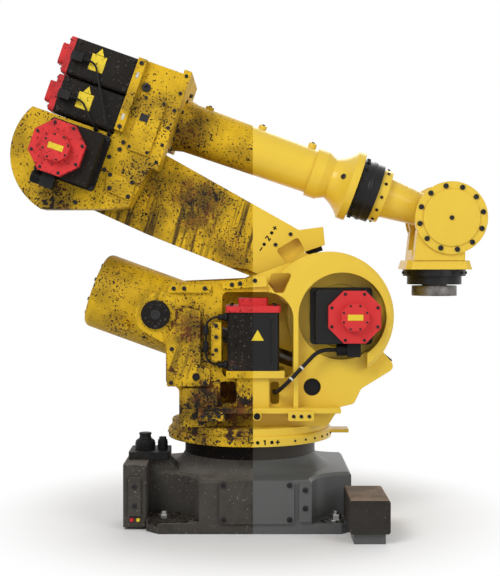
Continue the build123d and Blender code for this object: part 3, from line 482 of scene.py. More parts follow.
class Skin:
    """Surfaces of the solids, so that fine pieces sit on them."""

    def __init__(self) -> None:
        """Starts with no surface looked up."""
        self._trees: dict[str, BVHTree] = {}

    def hit(self, node: str, start: Vector, way: Vector) -> tuple[Vector, Vector]:
        """Finds where a line meets a solid.

        Args:
            node: Name of the solid.
            start: Point that the line leaves.
            way: Direction of the line.

        Returns:
            The first point met, and the normal there turned against the line.
        """
        if node not in self._trees:
            piece = frame["nodes"][node]
            places = [piece.matrix_world @ v.co for v in piece.data.vertices]
            faces = [tuple(p.vertices) for p in piece.data.polygons]
            self._trees[node] = BVHTree.FromPolygons(places, faces)
        point, normal, _, _ = self._trees[node].ray_cast(start, way)
        if point is None:
            raise ValueError(f"no surface of {node} ahead of {tuple(start)}")
        return point, (-normal if normal.dot(way) > 0 else normal)

    def front(self, node: str, x: float, z: float) -> tuple[Vector, Vector]:
        """Point of a solid's near side at x, z, and the normal there."""
        return self.hit(node, Vector((x, -OUTSIDE, z)), FAR)

    def near(self, node: str, x: float, z: float) -> Vector:
        """Point of a solid's near side at x, z."""
        return self.front(node, x, z)[0]


def corners(node: str) -> tuple[Vector, Vector]:
    """Low and high corner of a solid's box."""
    low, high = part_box(node)
    return Vector(low), Vector(high)


def above(way: Vector) -> Vector:
    """Direction a quarter turn up from one in the middle plane."""
    return Vector((-way.z, 0.0, way.x))


@dataclass(frozen=True)
class Ring:
    """Places spaced evenly on a circle about an axis, from phase degrees on."""

    centre: Vector
    axis: Vector
    radius: float
    count: int
    phase: float = 0.0

    def spots(self) -> list[Vector]:
        """The places, in turn."""
        turn = self.axis.to_track_quat("Z", "Y").to_matrix()
        angles = [math.radians(self.phase) + math.tau * k / self.count for k in range(self.count)]
        arms = [Vector((self.radius * math.cos(a), self.radius * math.sin(a), 0.0)) for a in angles]
        return [self.centre + turn @ arm for arm in arms]


@dataclass
class Shape:
    """A mesh of turned and chamfered pieces in the row frame: places in metres, sizes in millimetres."""

    name: str
    mesh: bmesh.types.BMesh = field(default_factory=bmesh.new)

    def bridge(self, low: list[bmesh.types.BMVert], high: list[bmesh.types.BMVert]) -> None:
        """Closes the wall between two rings of equal count."""
        for k in range(len(low)):
            after = (k + 1) % len(low)
            self.mesh.faces.new((low[k], low[after], high[after], high[k]))

    def lathe(self, base: Vector, axis: Vector, profile: Spots, count: int, unit: float = 1.0) -> None:
        """Closed turned solid.

        Args:
            base: Point on the axis at height zero.
            axis: Direction of the axis.
            profile: Radius and height of each ring in units, from the first end to the last.
            count: Sides of each ring.
            unit: Millimetres in a unit.
        """
        rings = []
        for radius, height in profile:
            circle = Ring(base + axis * (height * unit * MM), axis, radius * unit * MM, count)
            rings.append([self.mesh.verts.new(spot) for spot in circle.spots()])
        for low, high in zip(rings, rings[1:]):
            self.bridge(low, high)
        self.mesh.faces.new(list(reversed(rings[0])))
        self.mesh.faces.new(rings[-1])

    def screw(self, seat: Vector, axis: Vector, radius: float) -> None:
        """Socket screw: washer face, chamfered head and a socket."""
        self.lathe(seat, axis, SCREW, 14, radius)

    def anchor(self, seat: Vector, axis: Vector, radius: float) -> None:
        """Anchor bolt: round washer, six-sided head and the end of the stud."""
        for profile, count in ((WASHER, 24), (HEAD, 6), (STUD, 16)):
            self.lathe(seat, axis, profile, count, radius)

    def block(self, centre: Vector, axes: Sequence[Vector], size: Sequence[float], edge: float) -> None:
        """Box with chamfered edges.

        Args:
            centre: Middle of the box.
            axes: Its three directions.
            size: Its three lengths.
            edge: Width of the chamfer.
        """
        made = bmesh.ops.create_cube(self.mesh, size=1.0)["verts"]
        turn = Matrix([list(a) for a in axes]).transposed()
        for vert in made:
            vert.co = centre + turn @ Vector([c * s * MM for c, s in zip(vert.co, size)])
        sides = {e for v in made for e in v.link_edges}
        bmesh.ops.bevel(self.mesh, geom=list(sides), offset=edge * MM, segments=1, affect="EDGES")

    def triangle(self, centre: Vector, up: Vector, normal: Vector, radius: float, height: float) -> None:
        """Flat three-cornered plate with its point towards up."""
        right = up.cross(normal).normalized()
        angles = [math.radians(90.0 + 120.0 * k) for k in range(3)]
        tips = [centre + (right * math.cos(a) + up * math.sin(a)) * (radius * MM) for a in angles]
        low = [self.mesh.verts.new(tip) for tip in tips]
        high = [self.mesh.verts.new(v.co + normal * (height * MM)) for v in low]
        self.bridge(low, high)
        self.mesh.faces.new(list(reversed(low)))
        self.mesh.faces.new(high)

    def crumb(self, centre: Vector, size: float, chance: random.Random) -> None:
        """Uneven lump of dirt."""
        made = bmesh.ops.create_icosphere(self.mesh, subdivisions=2, radius=size)["verts"]
        flat = chance.uniform(0.35, 0.8)
        for vert in made:
            lump = vert.co * chance.uniform(0.8, 1.2)
            vert.co = centre + Vector((lump.x, lump.y, lump.z * flat))

    def place(self, body: Body, slot: Slot, material: bpy.types.Material) -> None:
        """Makes the object and lets it ride.

        Args:
            body: Body that carries the piece.
            slot: Record slot that its finish goes with; not used.
            material: Its finish.
        """
        bmesh.ops.recalc_face_normals(self.mesh, faces=self.mesh.faces[:])
        data = bpy.data.meshes.new(self.name)
        self.mesh.to_mesh(data)
        self.mesh.free()
        data.materials.append(material)
        data.shade_smooth()
        data.set_sharp_from_angle(angle=math.radians(SMOOTH_ANGLE))
        piece = bpy.data.objects.new(self.name, data)
        bpy.context.scene.collection.objects.link(piece)
        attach(piece, body.value)
        LOG.info("%s on %s: %d faces", self.name, body.value, len(data.polygons))


class Glyph(Enum):
    """Plain marks, as strokes (centre, length and turn in degrees) in a unit square."""

    MINUS = (((0.0, 0.0), 0.8, 0.0),)
    PLUS = (((0.0, 0.0), 0.8, 0.0), ((0.0, 0.0), 0.8, 90.0))
    ONE = (((0.05, 0.0), 0.9, 90.0), ((-0.08, 0.33), 0.3, 40.0))
    TWO = (((0.0, 0.42), 0.55, 0.0), ((0.25, 0.24), 0.4, 90.0), ((0.0, -0.14), 0.62, 50.0),
           ((0.0, -0.42), 0.62, 0.0))


@dataclass
class Assembly:
    """Shared means of the sub-assemblies."""

    finishes: Finishes
    skin: Skin

    def joint(self, name: str) -> tuple[Vector, Vector]:
        """Place and axis of a joint.

        Args:
            name: Name of the joint.

        Returns:
            A point on its axis, and its direction.
        """
        for row in frame["record"]["behaviour"]["joints"]:
            if row["name"] == name:
                return Vector(row["pos_m"]), Vector(row["axis"])
        raise KeyError(name)

    def fasten(self, shape: Shape, body: Body) -> None:
        """Places a shape of blackened screws."""
        shape.place(body, Slot.BLACK, self.finishes.screw)

    def plain(self, shape: Shape, body: Body, slot: Slot) -> None:
        """Places a shape in the plain finish of its slot."""
        shape.place(body, slot, self.finishes.by_slot[slot])

    def near_screws(self, shape: Shape, node: str, spots: Iterable[Spot], radius: float) -> None:
        """Screws on the near side of a solid at x, z."""
        for x, z in spots:
            shape.screw(self.skin.near(node, x, z), NEAR, radius)

    def face_screws(self, shape: Shape, node: str, axis: Vector, spots: Iterable[Vector],
                    radius: float) -> None:
        """Screws on an end face that looks along the axis, one under each spot."""
        for spot in spots:
            seat, _ = self.skin.hit(node, spot + axis, -axis)
            shape.screw(seat, axis, radius)

    def rim_screws(self, shape: Shape, node: str, ring: Ring, radius: float) -> None:
        """Screws round a solid, each where a line to the ring's middle meets it."""
        for spot in ring.spots():
            seat, normal = self.skin.hit(node, spot, (ring.centre - spot).normalized())
            shape.screw(seat, normal, radius)

    def stroke(self, shape: Shape, glyph: Glyph, centre: Vector, right: Vector, normal: Vector) -> None:
        """Lays a mark flat on a surface."""
        over = normal.cross(right).normalized()
        for (u, v), length, angle in glyph.value:
            way = Matrix.Rotation(math.radians(angle), 3, normal) @ right
            spot = centre + (right * u + over * v) * (SIGN_SIZE * MM)
            size = (length * SIGN_SIZE, STROKE_WIDTH, 1.0)
            shape.block(spot, (way, normal.cross(way), normal), size, 0.1)

    def axis_mark(self, shape: Shape, glyph: Glyph, node: str, middle: Spot, right: Vector) -> None:
        """Row of a minus, a dot, a numeral, a dot and a plus on the near side of a solid."""
        signs = (Glyph.MINUS, None, glyph, None, Glyph.PLUS)
        for step, sign in zip(MARK_STEPS, signs):
            seat, normal = self.skin.front(node, middle[0] + right.x * step, middle[1] + right.z * step)
            if sign is None:
                shape.lathe(seat, normal, ((DOT_RADIUS, -0.4), (DOT_RADIUS, 0.6)), 14)
            else:
                flat = (right - normal * right.dot(normal)).normalized()
                self.stroke(shape, sign, seat, flat, normal)


@dataclass
class SideMotor(Assembly):
    """Screws, blank plate and plug rings of a motor that lies across the machine.

    The axis goes through centre, right is the motor's first direction across it, and shift is how far the
    middle of the cap lies along right.
    """

    prefix: str
    body: Body
    centre: Vector
    right: Vector
    shift: float
    corner: Spot = (97 * MM, 88 * MM)
    corner_screw: float = 7.5
    cap_rings: Spots = ((84, 4.6), (42, 3.2))
    cap_sides: int = 8
    plate: Triple = (52, 20, 2)
    plug_drop: float = 114 * MM
    grips: int = 5
    grip_start: float = 30.0
    grip_pitch: float = 5.5

    def build(self) -> None:
        """Adds every fine piece of the motor."""
        up = above(self.right)
        cap = self.centre + self.right * self.shift
        screws = Shape(self.prefix + "_screws")
        wide, tall = self.corner
        for u in (-wide, wide):
            for v in (-tall, tall):
                spot = self.centre + self.right * u + up * v
                self.near_screws(screws, self.prefix, [(spot.x, spot.z)], self.corner_screw)
        angles = [math.tau * (k + 0.5) / self.cap_sides for k in range(self.cap_sides)]
        for radius, size in self.cap_rings:
            spots = [cap + (self.right * math.cos(a) + up * math.sin(a)) * (radius * MM) for a in angles]
            self.near_screws(screws, self.prefix + "_cap", [(p.x, p.z) for p in spots], size)
        self.fasten(screws, self.body)
        plate = Shape(self.prefix + "_blank_plate")
        seat = self.skin.near(self.prefix + "_cap", cap.x, cap.z)
        plate.block(seat, (self.right, up, NEAR), self.plate, 0.6)
        plate.place(self.body, Slot.YELLOW, self.finishes.plate)
        rings = Shape(self.prefix + "_plug_rings")
        low, high = corners(self.prefix + "_plug")
        start = cap - up * self.plug_drop
        start.y = (low.y + high.y) / 2
        for k in range(self.grips):
            along = (self.grip_start + self.grip_pitch * k) * MM
            rings.lathe(start - self.right * along, -self.right, ((21.5, 0), (21.5, 3.2)), 22)
        self.plain(rings, self.body, Slot.PLASTIC)


@dataclass
class Pedestal(Assembly):
    """Covers, anchors, plugs and dirt of the pedestal."""

    cover_inset: float = 15.0 * MM
    cover_screw: float = 8.0
    strip_spots: Spots = ((0.184, 0.149), (0.184, 0.088))
    box_spots: Spots = ((-0.39, 0.148), (-0.39, 0.084))
    box_screw: float = 7.0
    anchor_radius: float = 19.0
    anchor_reach: float = 290.0 * MM
    foot_top: float = 35.0 * MM
    crumbs: int = 210
    seed: int = 11
    pocket: float = 0.335
    pocket_end: float = 0.31
    rear_dirt: Spot = (0.165, 17.0)
    front_dirt: Spot = (0.1, 7.0)
    tall_inset: float = 52.0 * MM
    small_inset: float = 26.5 * MM
    fitting_height: float = 0.034

    def build(self) -> None:
        """Adds every fine piece of the pedestal."""
        self._screws()
        self._anchors()
        self._dirt()
        self._plugs()
        self._fittings()

    def _screws(self) -> None:
        """Screws of the covers and strips."""
        shape = Shape("base_screws")
        for node, axis in (("base_cover_front", NEAR), ("base_cover_rear", FAR)):
            low, high = corners(node)
            y = low.y if axis is NEAR else high.y
            for x in (low.x + self.cover_inset, high.x - self.cover_inset):
                for z in (low.z + self.cover_inset, high.z - self.cover_inset):
                    shape.screw(Vector((x, y, z)), axis, self.cover_screw)
        self.near_screws(shape, "base_casting", self.strip_spots, self.cover_screw)
        self.near_screws(shape, "connector_box", self.box_spots, self.box_screw)
        self.fasten(shape, Body.BASE)

    def _anchors(self) -> None:
        """Anchor bolts in the four pockets."""
        shape = Shape("anchor_bolts")
        for x in (-self.anchor_reach, self.anchor_reach):
            for y in (-self.anchor_reach, self.anchor_reach):
                shape.anchor(Vector((x, y, self.foot_top)), UP, self.anchor_radius)
        shape.place(Body.BASE, Slot.STEEL, self.finishes.bright)

    def _dirt(self) -> None:
        """Crumbs that lie in the near pockets, one in six of them ahead."""
        chance = random.Random(self.seed)
        shape = Shape("pocket_dirt")
        for k in range(self.crumbs):
            rear = k % 6 != 0
            spread, largest = self.rear_dirt if rear else self.front_dirt
            reach = chance.uniform(0.02, spread)
            angle = chance.uniform(0.0, math.pi / 2)
            x = self.pocket - reach * math.cos(angle)
            spot = Vector((-x if rear else x, -self.pocket + reach * math.sin(angle), self.foot_top))
            if spot.x > self.pocket_end:
                continue
            shape.crumb(spot, chance.uniform(2.0, largest) * MM * (1.2 - reach * 4.0), chance)
        shape.place(Body.BASE, Slot.GREY, self.finishes.crumb)

    def _plugs(self) -> None:
        """Grip rings and collars of the supply plugs."""
        low, high = corners("harness_plugs")
        middle = (low.y + high.y) / 2
        shape = Shape("plug_rings")
        tall = Vector((low.x + self.tall_inset, middle, high.z))
        small = Vector((high.x - self.small_inset, middle, high.z))
        for k in range(3):
            shape.lathe(tall - UP * ((56 - 8 * k) * MM), UP, ((36, 0), (36, 4.5)), 28)
            shape.lathe(small - UP * ((54 - 8 * k) * MM), UP, ((18.5, 0), (18.5, 4)), 22)
        shape.lathe(tall - UP * (30 * MM), UP, ((34, 0), (30, 5), (22, 10), (20.5, 16)), 28)
        shape.lathe(tall - UP * (6 * MM), UP, ((22, 0), (22, 5)), 28)
        shape.lathe(small - UP * (27 * MM), UP, ((15, 0), (13, 3), (13, 12)), 6)
        self.plain(shape, Body.BASE, Slot.PLASTIC)

    def _fittings(self) -> None:
        """The two service fittings on the box."""
        for x, name, slot, finish in ((-0.4, "red_fitting", Slot.RED, self.finishes.by_slot[Slot.RED]),
                                      (-0.378, "yellow_fitting", Slot.YELLOW, self.finishes.plate)):
            shape = Shape(name)
            seat = self.skin.near("connector_box", x, self.fitting_height)
            shape.lathe(seat, NEAR, ((7, 0), (7, 4), (5, 7), (2.5, 7)), 18)
            shape.place(Body.BASE, slot, finish)


@dataclass
class Turret(Assembly):
    """Screws, motor fittings and marks of the turret."""

    rim_height: float = 296.0 * MM
    rim_count: int = 40
    rim_screw: float = 3.6
    rim_radius: float = 0.3
    mark_room: Spot = (0.0, 0.125)
    mark_x: float = 0.05
    pad_spots: Spots = (
        (-0.262, 0.815), (-0.226, 0.815), (-0.155, 0.815), (-0.062, 0.828), (-0.034, 0.832), (0.017, 0.842),
        (-0.268, 0.607), (-0.271, 0.491), (-0.155, 0.491))
    strut_spots: Spots = ((-0.1155, 0.65), (-0.1155, 0.605), (-0.1155, 0.688))
    ledge_columns: tuple[float, ...] = (0.148, 0.174, 0.201, -0.161, -0.134, -0.106)
    ledge_height: float = 0.383
    trunnion_ring: float = 35.0 * MM
    motor_inset: float = 14.0 * MM
    motor_head: float = 16.0 * MM
    motor_screw: float = 6.0
    label: Spot = (0.026, 0.65)
    cable_start: Triple = (0.235, -0.244, 0.606)
    cable_run: Triple = (-0.15, -0.044, -0.152)
    tie_shares: Spot = (0.38, 0.62)
    hole_plug: Triple = (0.2145, -0.196, 0.4748)
    small_plugs: tuple[Triple, ...] = ((0.024, 0.3835, 11.0), (-0.185, 0.512, 13.0))
    cable_inset: float = 4.0 * MM
    sleeve_heights: Spot = (0.6, 0.655)
    pad_centre: Triple = (0.472, -0.178, 0.5795)
    pad_slope: Triple = (0.76, 0.0, -0.65)
    pad_size: Triple = (46, 44, 7)

    def build(self) -> None:
        """Adds every fine piece of the turret."""
        self._plate_screws()
        self._rim()
        self._motor()
        self._plugs()
        shoulder, _ = self.joint("shoulder_swing")
        means = (self.finishes, self.skin)
        SideMotor(*means, "shoulder_motor", Body.TURRET, shoulder, RIGHT, CAP_SHIFT).build()
        self._ties()

    def _plate_screws(self) -> None:
        """Screws of the pads, the bracket, the strut, the ledge and the trunnion caps."""
        shape = Shape("plate_screws")
        ledge = [(x, self.ledge_height) for x in self.ledge_columns]
        for spots, size in ((self.pad_spots, 6.5), (self.strut_spots, 6.0), (ledge, 5.5)):
            self.near_screws(shape, "turret_near_plate", spots, size)
        trunnion, _ = self.joint("balancer_tilt")
        for node, axis in (("trunnion_cap_near", NEAR), ("trunnion_cap_far", FAR)):
            spots = Ring(trunnion, axis, self.trunnion_ring, 4, 20.0).spots()
            self.face_screws(shape, node, axis, spots, 5.0)
            seat, _ = self.skin.hit(node, trunnion + axis, -axis)
            shape.lathe(seat, axis, ((17, 0), (17, 2), (9, 2.5), (8, 0.8)), 24)
        self.fasten(shape, Body.TURRET)

    def _rim(self) -> None:
        """Screws round the rim of the flange, clear of its lug and its axis mark, and the mark."""
        shape = Shape("rim_screws")
        ring = Ring(UP * self.rim_height, UP, 2 * self.rim_radius, self.rim_count, 4.5)
        left, right = self.mark_room
        for spot in ring.spots():
            way = (ring.centre - spot).normalized()
            seat, _ = self.skin.hit("turret_flange", spot, way)
            if seat.xy.length < self.rim_radius and not left < seat.x < right:
                shape.screw(seat, -way, self.rim_screw)
        self.fasten(shape, Body.TURRET)
        mark = Shape("flange_axis_mark")
        self.axis_mark(mark, Glyph.ONE, "turret_flange", (self.mark_x, self.rim_height), RIGHT)
        mark.place(Body.TURRET, Slot.BLACK, self.finishes.mark)

    def _motor(self) -> None:
        """Blank plate, screws and seams of the upright motor."""
        low, high = corners("turret_motor")
        inset = self.motor_inset
        plate = Shape("turret_motor_blank_plate")
        plate.triangle(self.skin.near("turret_motor", *self.label), UP, NEAR, 25, 1.6)
        plate.place(Body.TURRET, Slot.YELLOW, self.finishes.plate)
        shape = Shape("turret_motor_screws")
        for x, inner in ((low.x + inset, low.x + 2 * inset), (high.x - inset, high.x - 2 * inset)):
            for y in (low.y + inset, high.y - inset):
                seat, _ = self.skin.hit("turret_motor_cap", Vector((x, y, OUTSIDE)), DOWN)
                shape.screw(seat, UP, self.motor_screw)
            spots = [(inner, z) for z in (low.z + inset, high.z - self.motor_head)]
            self.near_screws(shape, "turret_motor", spots, self.motor_screw)
        self.fasten(shape, Body.TURRET)
        seams = Shape("turret_motor_seams")
        for x in (low.x + 30 * MM, high.x - 30 * MM):
            seams.block(Vector((x, low.y, (low.z + high.z) / 2)), (RIGHT, FAR, UP),
                        (5, 5, (high.z - low.z) / MM - 44), 1.2)
        self.plain(seams, Body.TURRET, Slot.BLACK)

    def _plugs(self) -> None:
        """Plugs in the round holes, glands and sleeves of the motor lead, and the pad on the wedge."""
        shape = Shape("turret_plugs")
        shape.lathe(Vector(self.hole_plug), NEAR, ((29.5, 0), (29.5, 4), (24, 4), (23, 1)), 28)
        for x, z, radius in self.small_plugs:
            shape.lathe(self.skin.near("turret_near_plate", x, z), NEAR,
                         ((radius, -1), (radius, 3), (radius * 0.8, 4), (radius * 0.7, 1)), 24)
        low, high = corners("turret_motor_cable")
        middle = (low.y + high.y) / 2
        for z in (low.z + self.cable_inset, high.z - self.cable_inset):
            shape.lathe(Vector((high.x, middle, z)), -RIGHT,
                         ((14, 0), (14, 11), (10, 13), (10, 30), (6, 34)), 20)
        for z in self.sleeve_heights:
            shape.lathe(Vector((low.x + self.cable_inset, middle, z)), UP,
                         ((6, 0), (9.5, 3), (9.5, 32), (6, 35)), 18)
        slope = Vector(self.pad_slope)
        shape.block(Vector(self.pad_centre), (slope, FAR, slope.cross(FAR)), self.pad_size, 1)
        self.plain(shape, Body.TURRET, Slot.PLASTIC)

    def _ties(self) -> None:
        """Ties round the cable of the shoulder motor."""
        shape = Shape("shoulder_cable_ties")
        run = Vector(self.cable_run)
        for share in self.tie_shares:
            spot = Vector(self.cable_start) + run * share
            shape.lathe(spot, run.normalized(), ((8.4, 0), (8.4, 7)), 20)
        shape.place(Body.TURRET, Slot.PLASTIC, self.finishes.tie)


@dataclass
class Balancer(Assembly):
    """Stub boss under the drum of the balancer, and the screws of its rear end."""

    boss_radius: float = 15.0
    boss_height: float = 20.0
    boss_from: Triple = (-0.455, -0.4, 0.5)
    boss_to: Triple = (-0.43, 0.0, 0.76)
    drum_rise: float = 20.0
    screw_ring: float = 95.0 * MM

    def build(self) -> None:
        """Adds every fine piece of the balancer."""
        shape = Shape("drum_boss")
        start = Vector(self.boss_from)
        seat, normal = self.skin.hit("balancer_drum", start, (Vector(self.boss_to) - start).normalized())
        r, h = self.boss_radius, self.boss_height
        base = seat - normal * (4 * MM)
        shape.lathe(base, normal, ((r, 0), (r, h), (r * 0.8, h + 3), (r * 0.4, h + 3)), 24)
        shape.place(Body.BALANCER, Slot.YELLOW, self.finishes.by_node["balancer_drum"])
        trunnion, _ = self.joint("balancer_tilt")
        rise = math.radians(self.drum_rise)
        rear = Vector((-math.cos(rise), 0.0, math.sin(rise)))
        screws = Shape("drum_screws")
        spots = Ring(trunnion, rear, self.screw_ring, 8, 22.5).spots()
        self.face_screws(screws, "balancer_drum", rear, spots, 6.5)
        self.fasten(screws, Body.BALANCER)


@dataclass
class LowerArm(Assembly):
    """Axis mark and screws of the lower arm."""

    mark_spot: Spot = (0.0632, 0.9887)
    mark_way: Triple = (0.549, 0.0, 0.836)
    screw_spots: Spots = ((0.143, 1.004), (0.09, 0.967))
    screw: float = 6.0

    def build(self) -> None:
        """Adds every fine piece of the lower arm."""
        mark = Shape("arm_axis_mark")
        right = Vector(self.mark_way).normalized()
        self.axis_mark(mark, Glyph.TWO, "lower_arm_casting", self.mark_spot, right)
        mark.place(Body.LOWER_ARM, Slot.BLACK, self.finishes.mark)
        shape = Shape("arm_screws")
        self.near_screws(shape, "lower_arm_casting", self.screw_spots, self.screw)
        self.fasten(shape, Body.LOWER_ARM)


@dataclass
class Elbow(Assembly):
    """Screws, blank plates and motor fittings of the elbow; places are along and up from its axis."""

    bar_spots: Spots = (
        (0.12, 0.142), (0.12, 0.368), (0.155, -0.066), (0.224, -0.072), (0.222, -0.022), (0.142, -0.022),
        (0.06, -0.15), (0.147, 0.097), (0.143, 0.07), (0.118, 0.0345), (0.117, -0.012))
    cover_columns: Spot = (0.171, 0.235)
    cover_rows: Spot = (0.09, 0.265)
    # spot of the pocket, where a dark plate paints its shade
    pocket: Spot = (0.188, 0.198)
    fitting: Spot = (0.16, 0.298)
    edge_start: Spot = (0.275, 0.07)
    edge_pitch: float = 0.062
    flange_ring: float = 0.113
    flange_low: float = -0.101
    rises: Spot = (0.181, 0.316)
    motor_columns: Spot = (-0.098, 0.092)
    motor_half: float = 0.052
    cap_depths: Spot = (-0.236, -0.138)
    label_along: float = -0.022
    tag_along: float = 0.12
    tag_rises: Spot = (0.177, 0.325)
    gland_columns: Spot = (0.093, 0.045)
    gland_rise: float = 0.1075
    gland_depth: float = -0.235
    outlet: Spot = (-0.069, -0.261)
    bell: Spot = (0.331, 1.208)
    stations: Triple = (0.368, 0.571, 0.762)

    def at(self, u: float, v: float) -> Vector:
        """Point of the elbow's own frame, in the middle plane."""
        origin, _ = self.joint("elbow_swing")
        _, ahead = self.joint("wrist_roll_turn")
        return origin + ahead * u + above(ahead) * v

    def spots(self, places: Iterable[Spot]) -> list[Spot]:
        """Row x, z of points of the elbow's own frame."""
        return [(p.x, p.z) for p in (self.at(u, v) for u, v in places)]

    def seat(self, node: str, u: float, v: float) -> Vector:
        """Point of a solid's near side at a place of the elbow's own frame."""
        return self.skin.near(node, *self.spots([(u, v)])[0])

    def build(self) -> None:
        """Adds every fine piece of the elbow."""
        origin, _ = self.joint("elbow_swing")
        roll, ahead = self.joint("wrist_roll_turn")
        up = above(ahead)
        means = (self.finishes, self.skin)
        SideMotor(*means, "elbow_motor", Body.ELBOW, origin, ahead, -CAP_SHIFT).build()
        self._casting(roll, ahead, up)
        self._wrist_motors(ahead, up)
        self._tags(ahead, up)
        self._glands(ahead)
        self._forearm(roll, ahead, up)

    def _casting(self, roll: Vector, ahead: Vector, up: Vector) -> None:
        """Screws of the bar, the plates and the gear flange, which is open below, and a dark plate laid
        over the pocket as painted shade.
        """
        shape = Shape("elbow_screws")
        covers = [(u, v) for u in self.cover_columns for v in self.cover_rows]
        u, v = self.edge_start
        edge = [(u, v + self.edge_pitch * k) for k in range(6)]
        rows = (("elbow_casting", self.bar_spots, 6.5), ("elbow_casting", covers, 5.0),
                ("gear_flange", edge, 5.5))
        for node, places, size in rows:
            self.near_screws(shape, node, self.spots(places), size)
        # dark plate laid over the pocket: painted shade of the recess
        seat = self.seat("elbow_casting", *self.pocket)
        shape.block(seat, (ahead, up, NEAR), (30, 26, 2), 0.5)
        shape.lathe(self.seat("elbow_casting", *self.fitting), NEAR,
                     ((15, -1), (15, 7), (11, 9), (7, 9), (6, 3)), 24)
        ring = Ring(roll, ahead, self.flange_ring, 14, 8.0).spots()
        held = [spot for spot in ring if (spot - roll).dot(up) > self.flange_low]
        self.face_screws(shape, "gear_flange", ahead, held, 6.5)
        self.fasten(shape, Body.ELBOW)

    def _wrist_motors(self, ahead: Vector, up: Vector) -> None:
        """Blank plates, corner screws and cap screws of the wrist motors."""
        plates = Shape("wrist_motor_blank_plates")
        screws = Shape("wrist_motor_screws")
        for node, rise in zip(("wrist_motor_lower", "wrist_motor_upper"), self.rises):
            seat = self.seat(node, self.label_along, rise + 2 * MM)
            plates.block(seat, (ahead, up, NEAR), (52, 56, 1.6), 0.4)
            plates.triangle(seat + up * (37 * MM), up, NEAR, 16, 0.8)
            rows = (rise - self.motor_half, rise + self.motor_half)
            places = [(u, v) for u in self.motor_columns for v in rows]
            self.near_screws(screws, node, self.spots(places), 5.5)
            for y in self.cap_depths:
                for v in rows:
                    start = self.at(-OUTSIDE, v)
                    start.y = y
                    seat, _ = self.skin.hit(node + "_cap", start, ahead)
                    screws.screw(seat, -ahead, 5.0)
        plates.place(Body.ELBOW, Slot.YELLOW, self.finishes.plate)
        self.fasten(screws, Body.ELBOW)

    def _tags(self, ahead: Vector, up: Vector) -> None:
        """Pale tags on the bar."""
        shape = Shape("bar_tags")
        for v in self.tag_rises:
            seat = self.seat("elbow_casting", self.tag_along, v)
            shape.block(seat, (ahead, up, NEAR), (9, 20, 1.2), 0.3)
        shape.place(Body.ELBOW, Slot.PLASTIC, self.finishes.tie)

    def _glands(self, ahead: Vector) -> None:
        """Glands where the motor leads leave the plugs and enter the casting."""
        shape = Shape("elbow_glands")
        for u in self.gland_columns:
            spot = self.at(u, self.gland_rise)
            spot.y = self.gland_depth
            shape.lathe(spot, NEAR, ((8.5, -1), (8.5, 6), (6, 8), (5, 14)), 16)
        along, depth = self.outlet
        for rise in self.rises:
            spot = self.at(along, rise)
            spot.y = depth
            shape.lathe(spot, ahead, ((10, -2), (10, 8), (7, 10), (6, 24)), 18)
        self.plain(shape, Body.ELBOW, Slot.PLASTIC)

    def _forearm(self, roll: Vector, ahead: Vector, up: Vector) -> None:
        """Plug on the bell of the forearm, and the screws on its bosses."""
        shape = Shape("bell_plug")
        seat, normal = self.skin.front("forearm_tube", *self.bell)
        shape.lathe(seat, normal, ((10, -1), (10, 3), (8, 4), (6, 4), (5.5, 1)), 22)
        self.face_screws(shape, "forearm_tube", up, [roll + ahead * s for s in self.stations], 6.0)
        self.fasten(shape, Body.ELBOW)


@dataclass
class Wrist(Assembly):
    """Screws of the wrist."""

    cover_screws: int = 12
    cover_phase: float = 10.4
    cover_circle: float = 113.0 * MM
    cover_screw: float = 8.0
    centre_screw: float = 7.0
    clear: float = 0.5
    ring_station: float = 0.972
    collar_station: float = 1.052
    band_station: float = 0.992
    band_radius: float = 107.5
    reducer_drop: float = 12.0 * MM
    small_screw: float = 5.0

    def build(self) -> None:
        """Adds every fine piece of the wrist."""
        centre, _ = self.joint("wrist_pitch_swing")
        shape = Shape("pitch_cover_screws")
        for node, axis in (("pitch_cover_near", NEAR), ("pitch_cover_far", FAR)):
            ring = Ring(centre, axis, self.cover_circle, self.cover_screws, self.cover_phase)
            self.face_screws(shape, node, axis, ring.spots(), self.cover_screw)
            self.face_screws(shape, node, axis, [centre], self.centre_screw)
        self.fasten(shape, Body.PITCH)
        self._ring()
        self._reducer()

    def _ring(self) -> None:
        """Screws round the roll ring and the collar, and the band."""
        start, ahead = self.joint("wrist_roll_turn")
        shape = Shape("roll_ring_screws")
        for node, station, count, size in (("roll_ring", self.ring_station, 16, 7.0),
                                           ("roll_collar", self.collar_station, 12, self.small_screw)):
            self.rim_screws(shape, node, Ring(start + ahead * station, ahead, self.clear, count, 7.0), size)
        self.fasten(shape, Body.ROLL)
        band = Shape("roll_ring_band")
        r = self.band_radius
        base = start + ahead * self.band_station
        band.lathe(base, ahead, ((r, 0), (r + 2, 3), (r + 2, 12), (r, 15)), 72)
        self.plain(band, Body.ROLL, Slot.BLACK)

    def _reducer(self) -> None:
        """Screws round the reducer of the tool axis."""
        centre, _ = self.joint("tool_turn")
        _, high = corners("tool_reducer")
        shape = Shape("reducer_screws")
        middle = Vector((centre.x, centre.y, high.z - self.reducer_drop))
        self.rim_screws(shape, "tool_reducer", Ring(middle, UP, self.clear, 16, 5.0), self.small_screw)
        self.fasten(shape, Body.PITCH)


@dataclass(frozen=True)
class Lamp:
    """A square area lamp: where it stands, what it is aimed at, its side and its power."""

    name: str
    spot: Triple
    aim: Triple
    size: float
    power: float

    def make(self) -> None:
        """Adds the lamp to the scene."""
        data = bpy.data.lights.new(self.name, "AREA")
        data.size = self.size
        data.energy = self.power
        lamp = bpy.data.objects.new(self.name, data)
        lamp.location = self.spot
        lamp.rotation_euler = (Vector(self.aim) - Vector(self.spot)).to_track_quat("-Z", "Y").to_euler()
        bpy.context.scene.collection.objects.link(lamp)


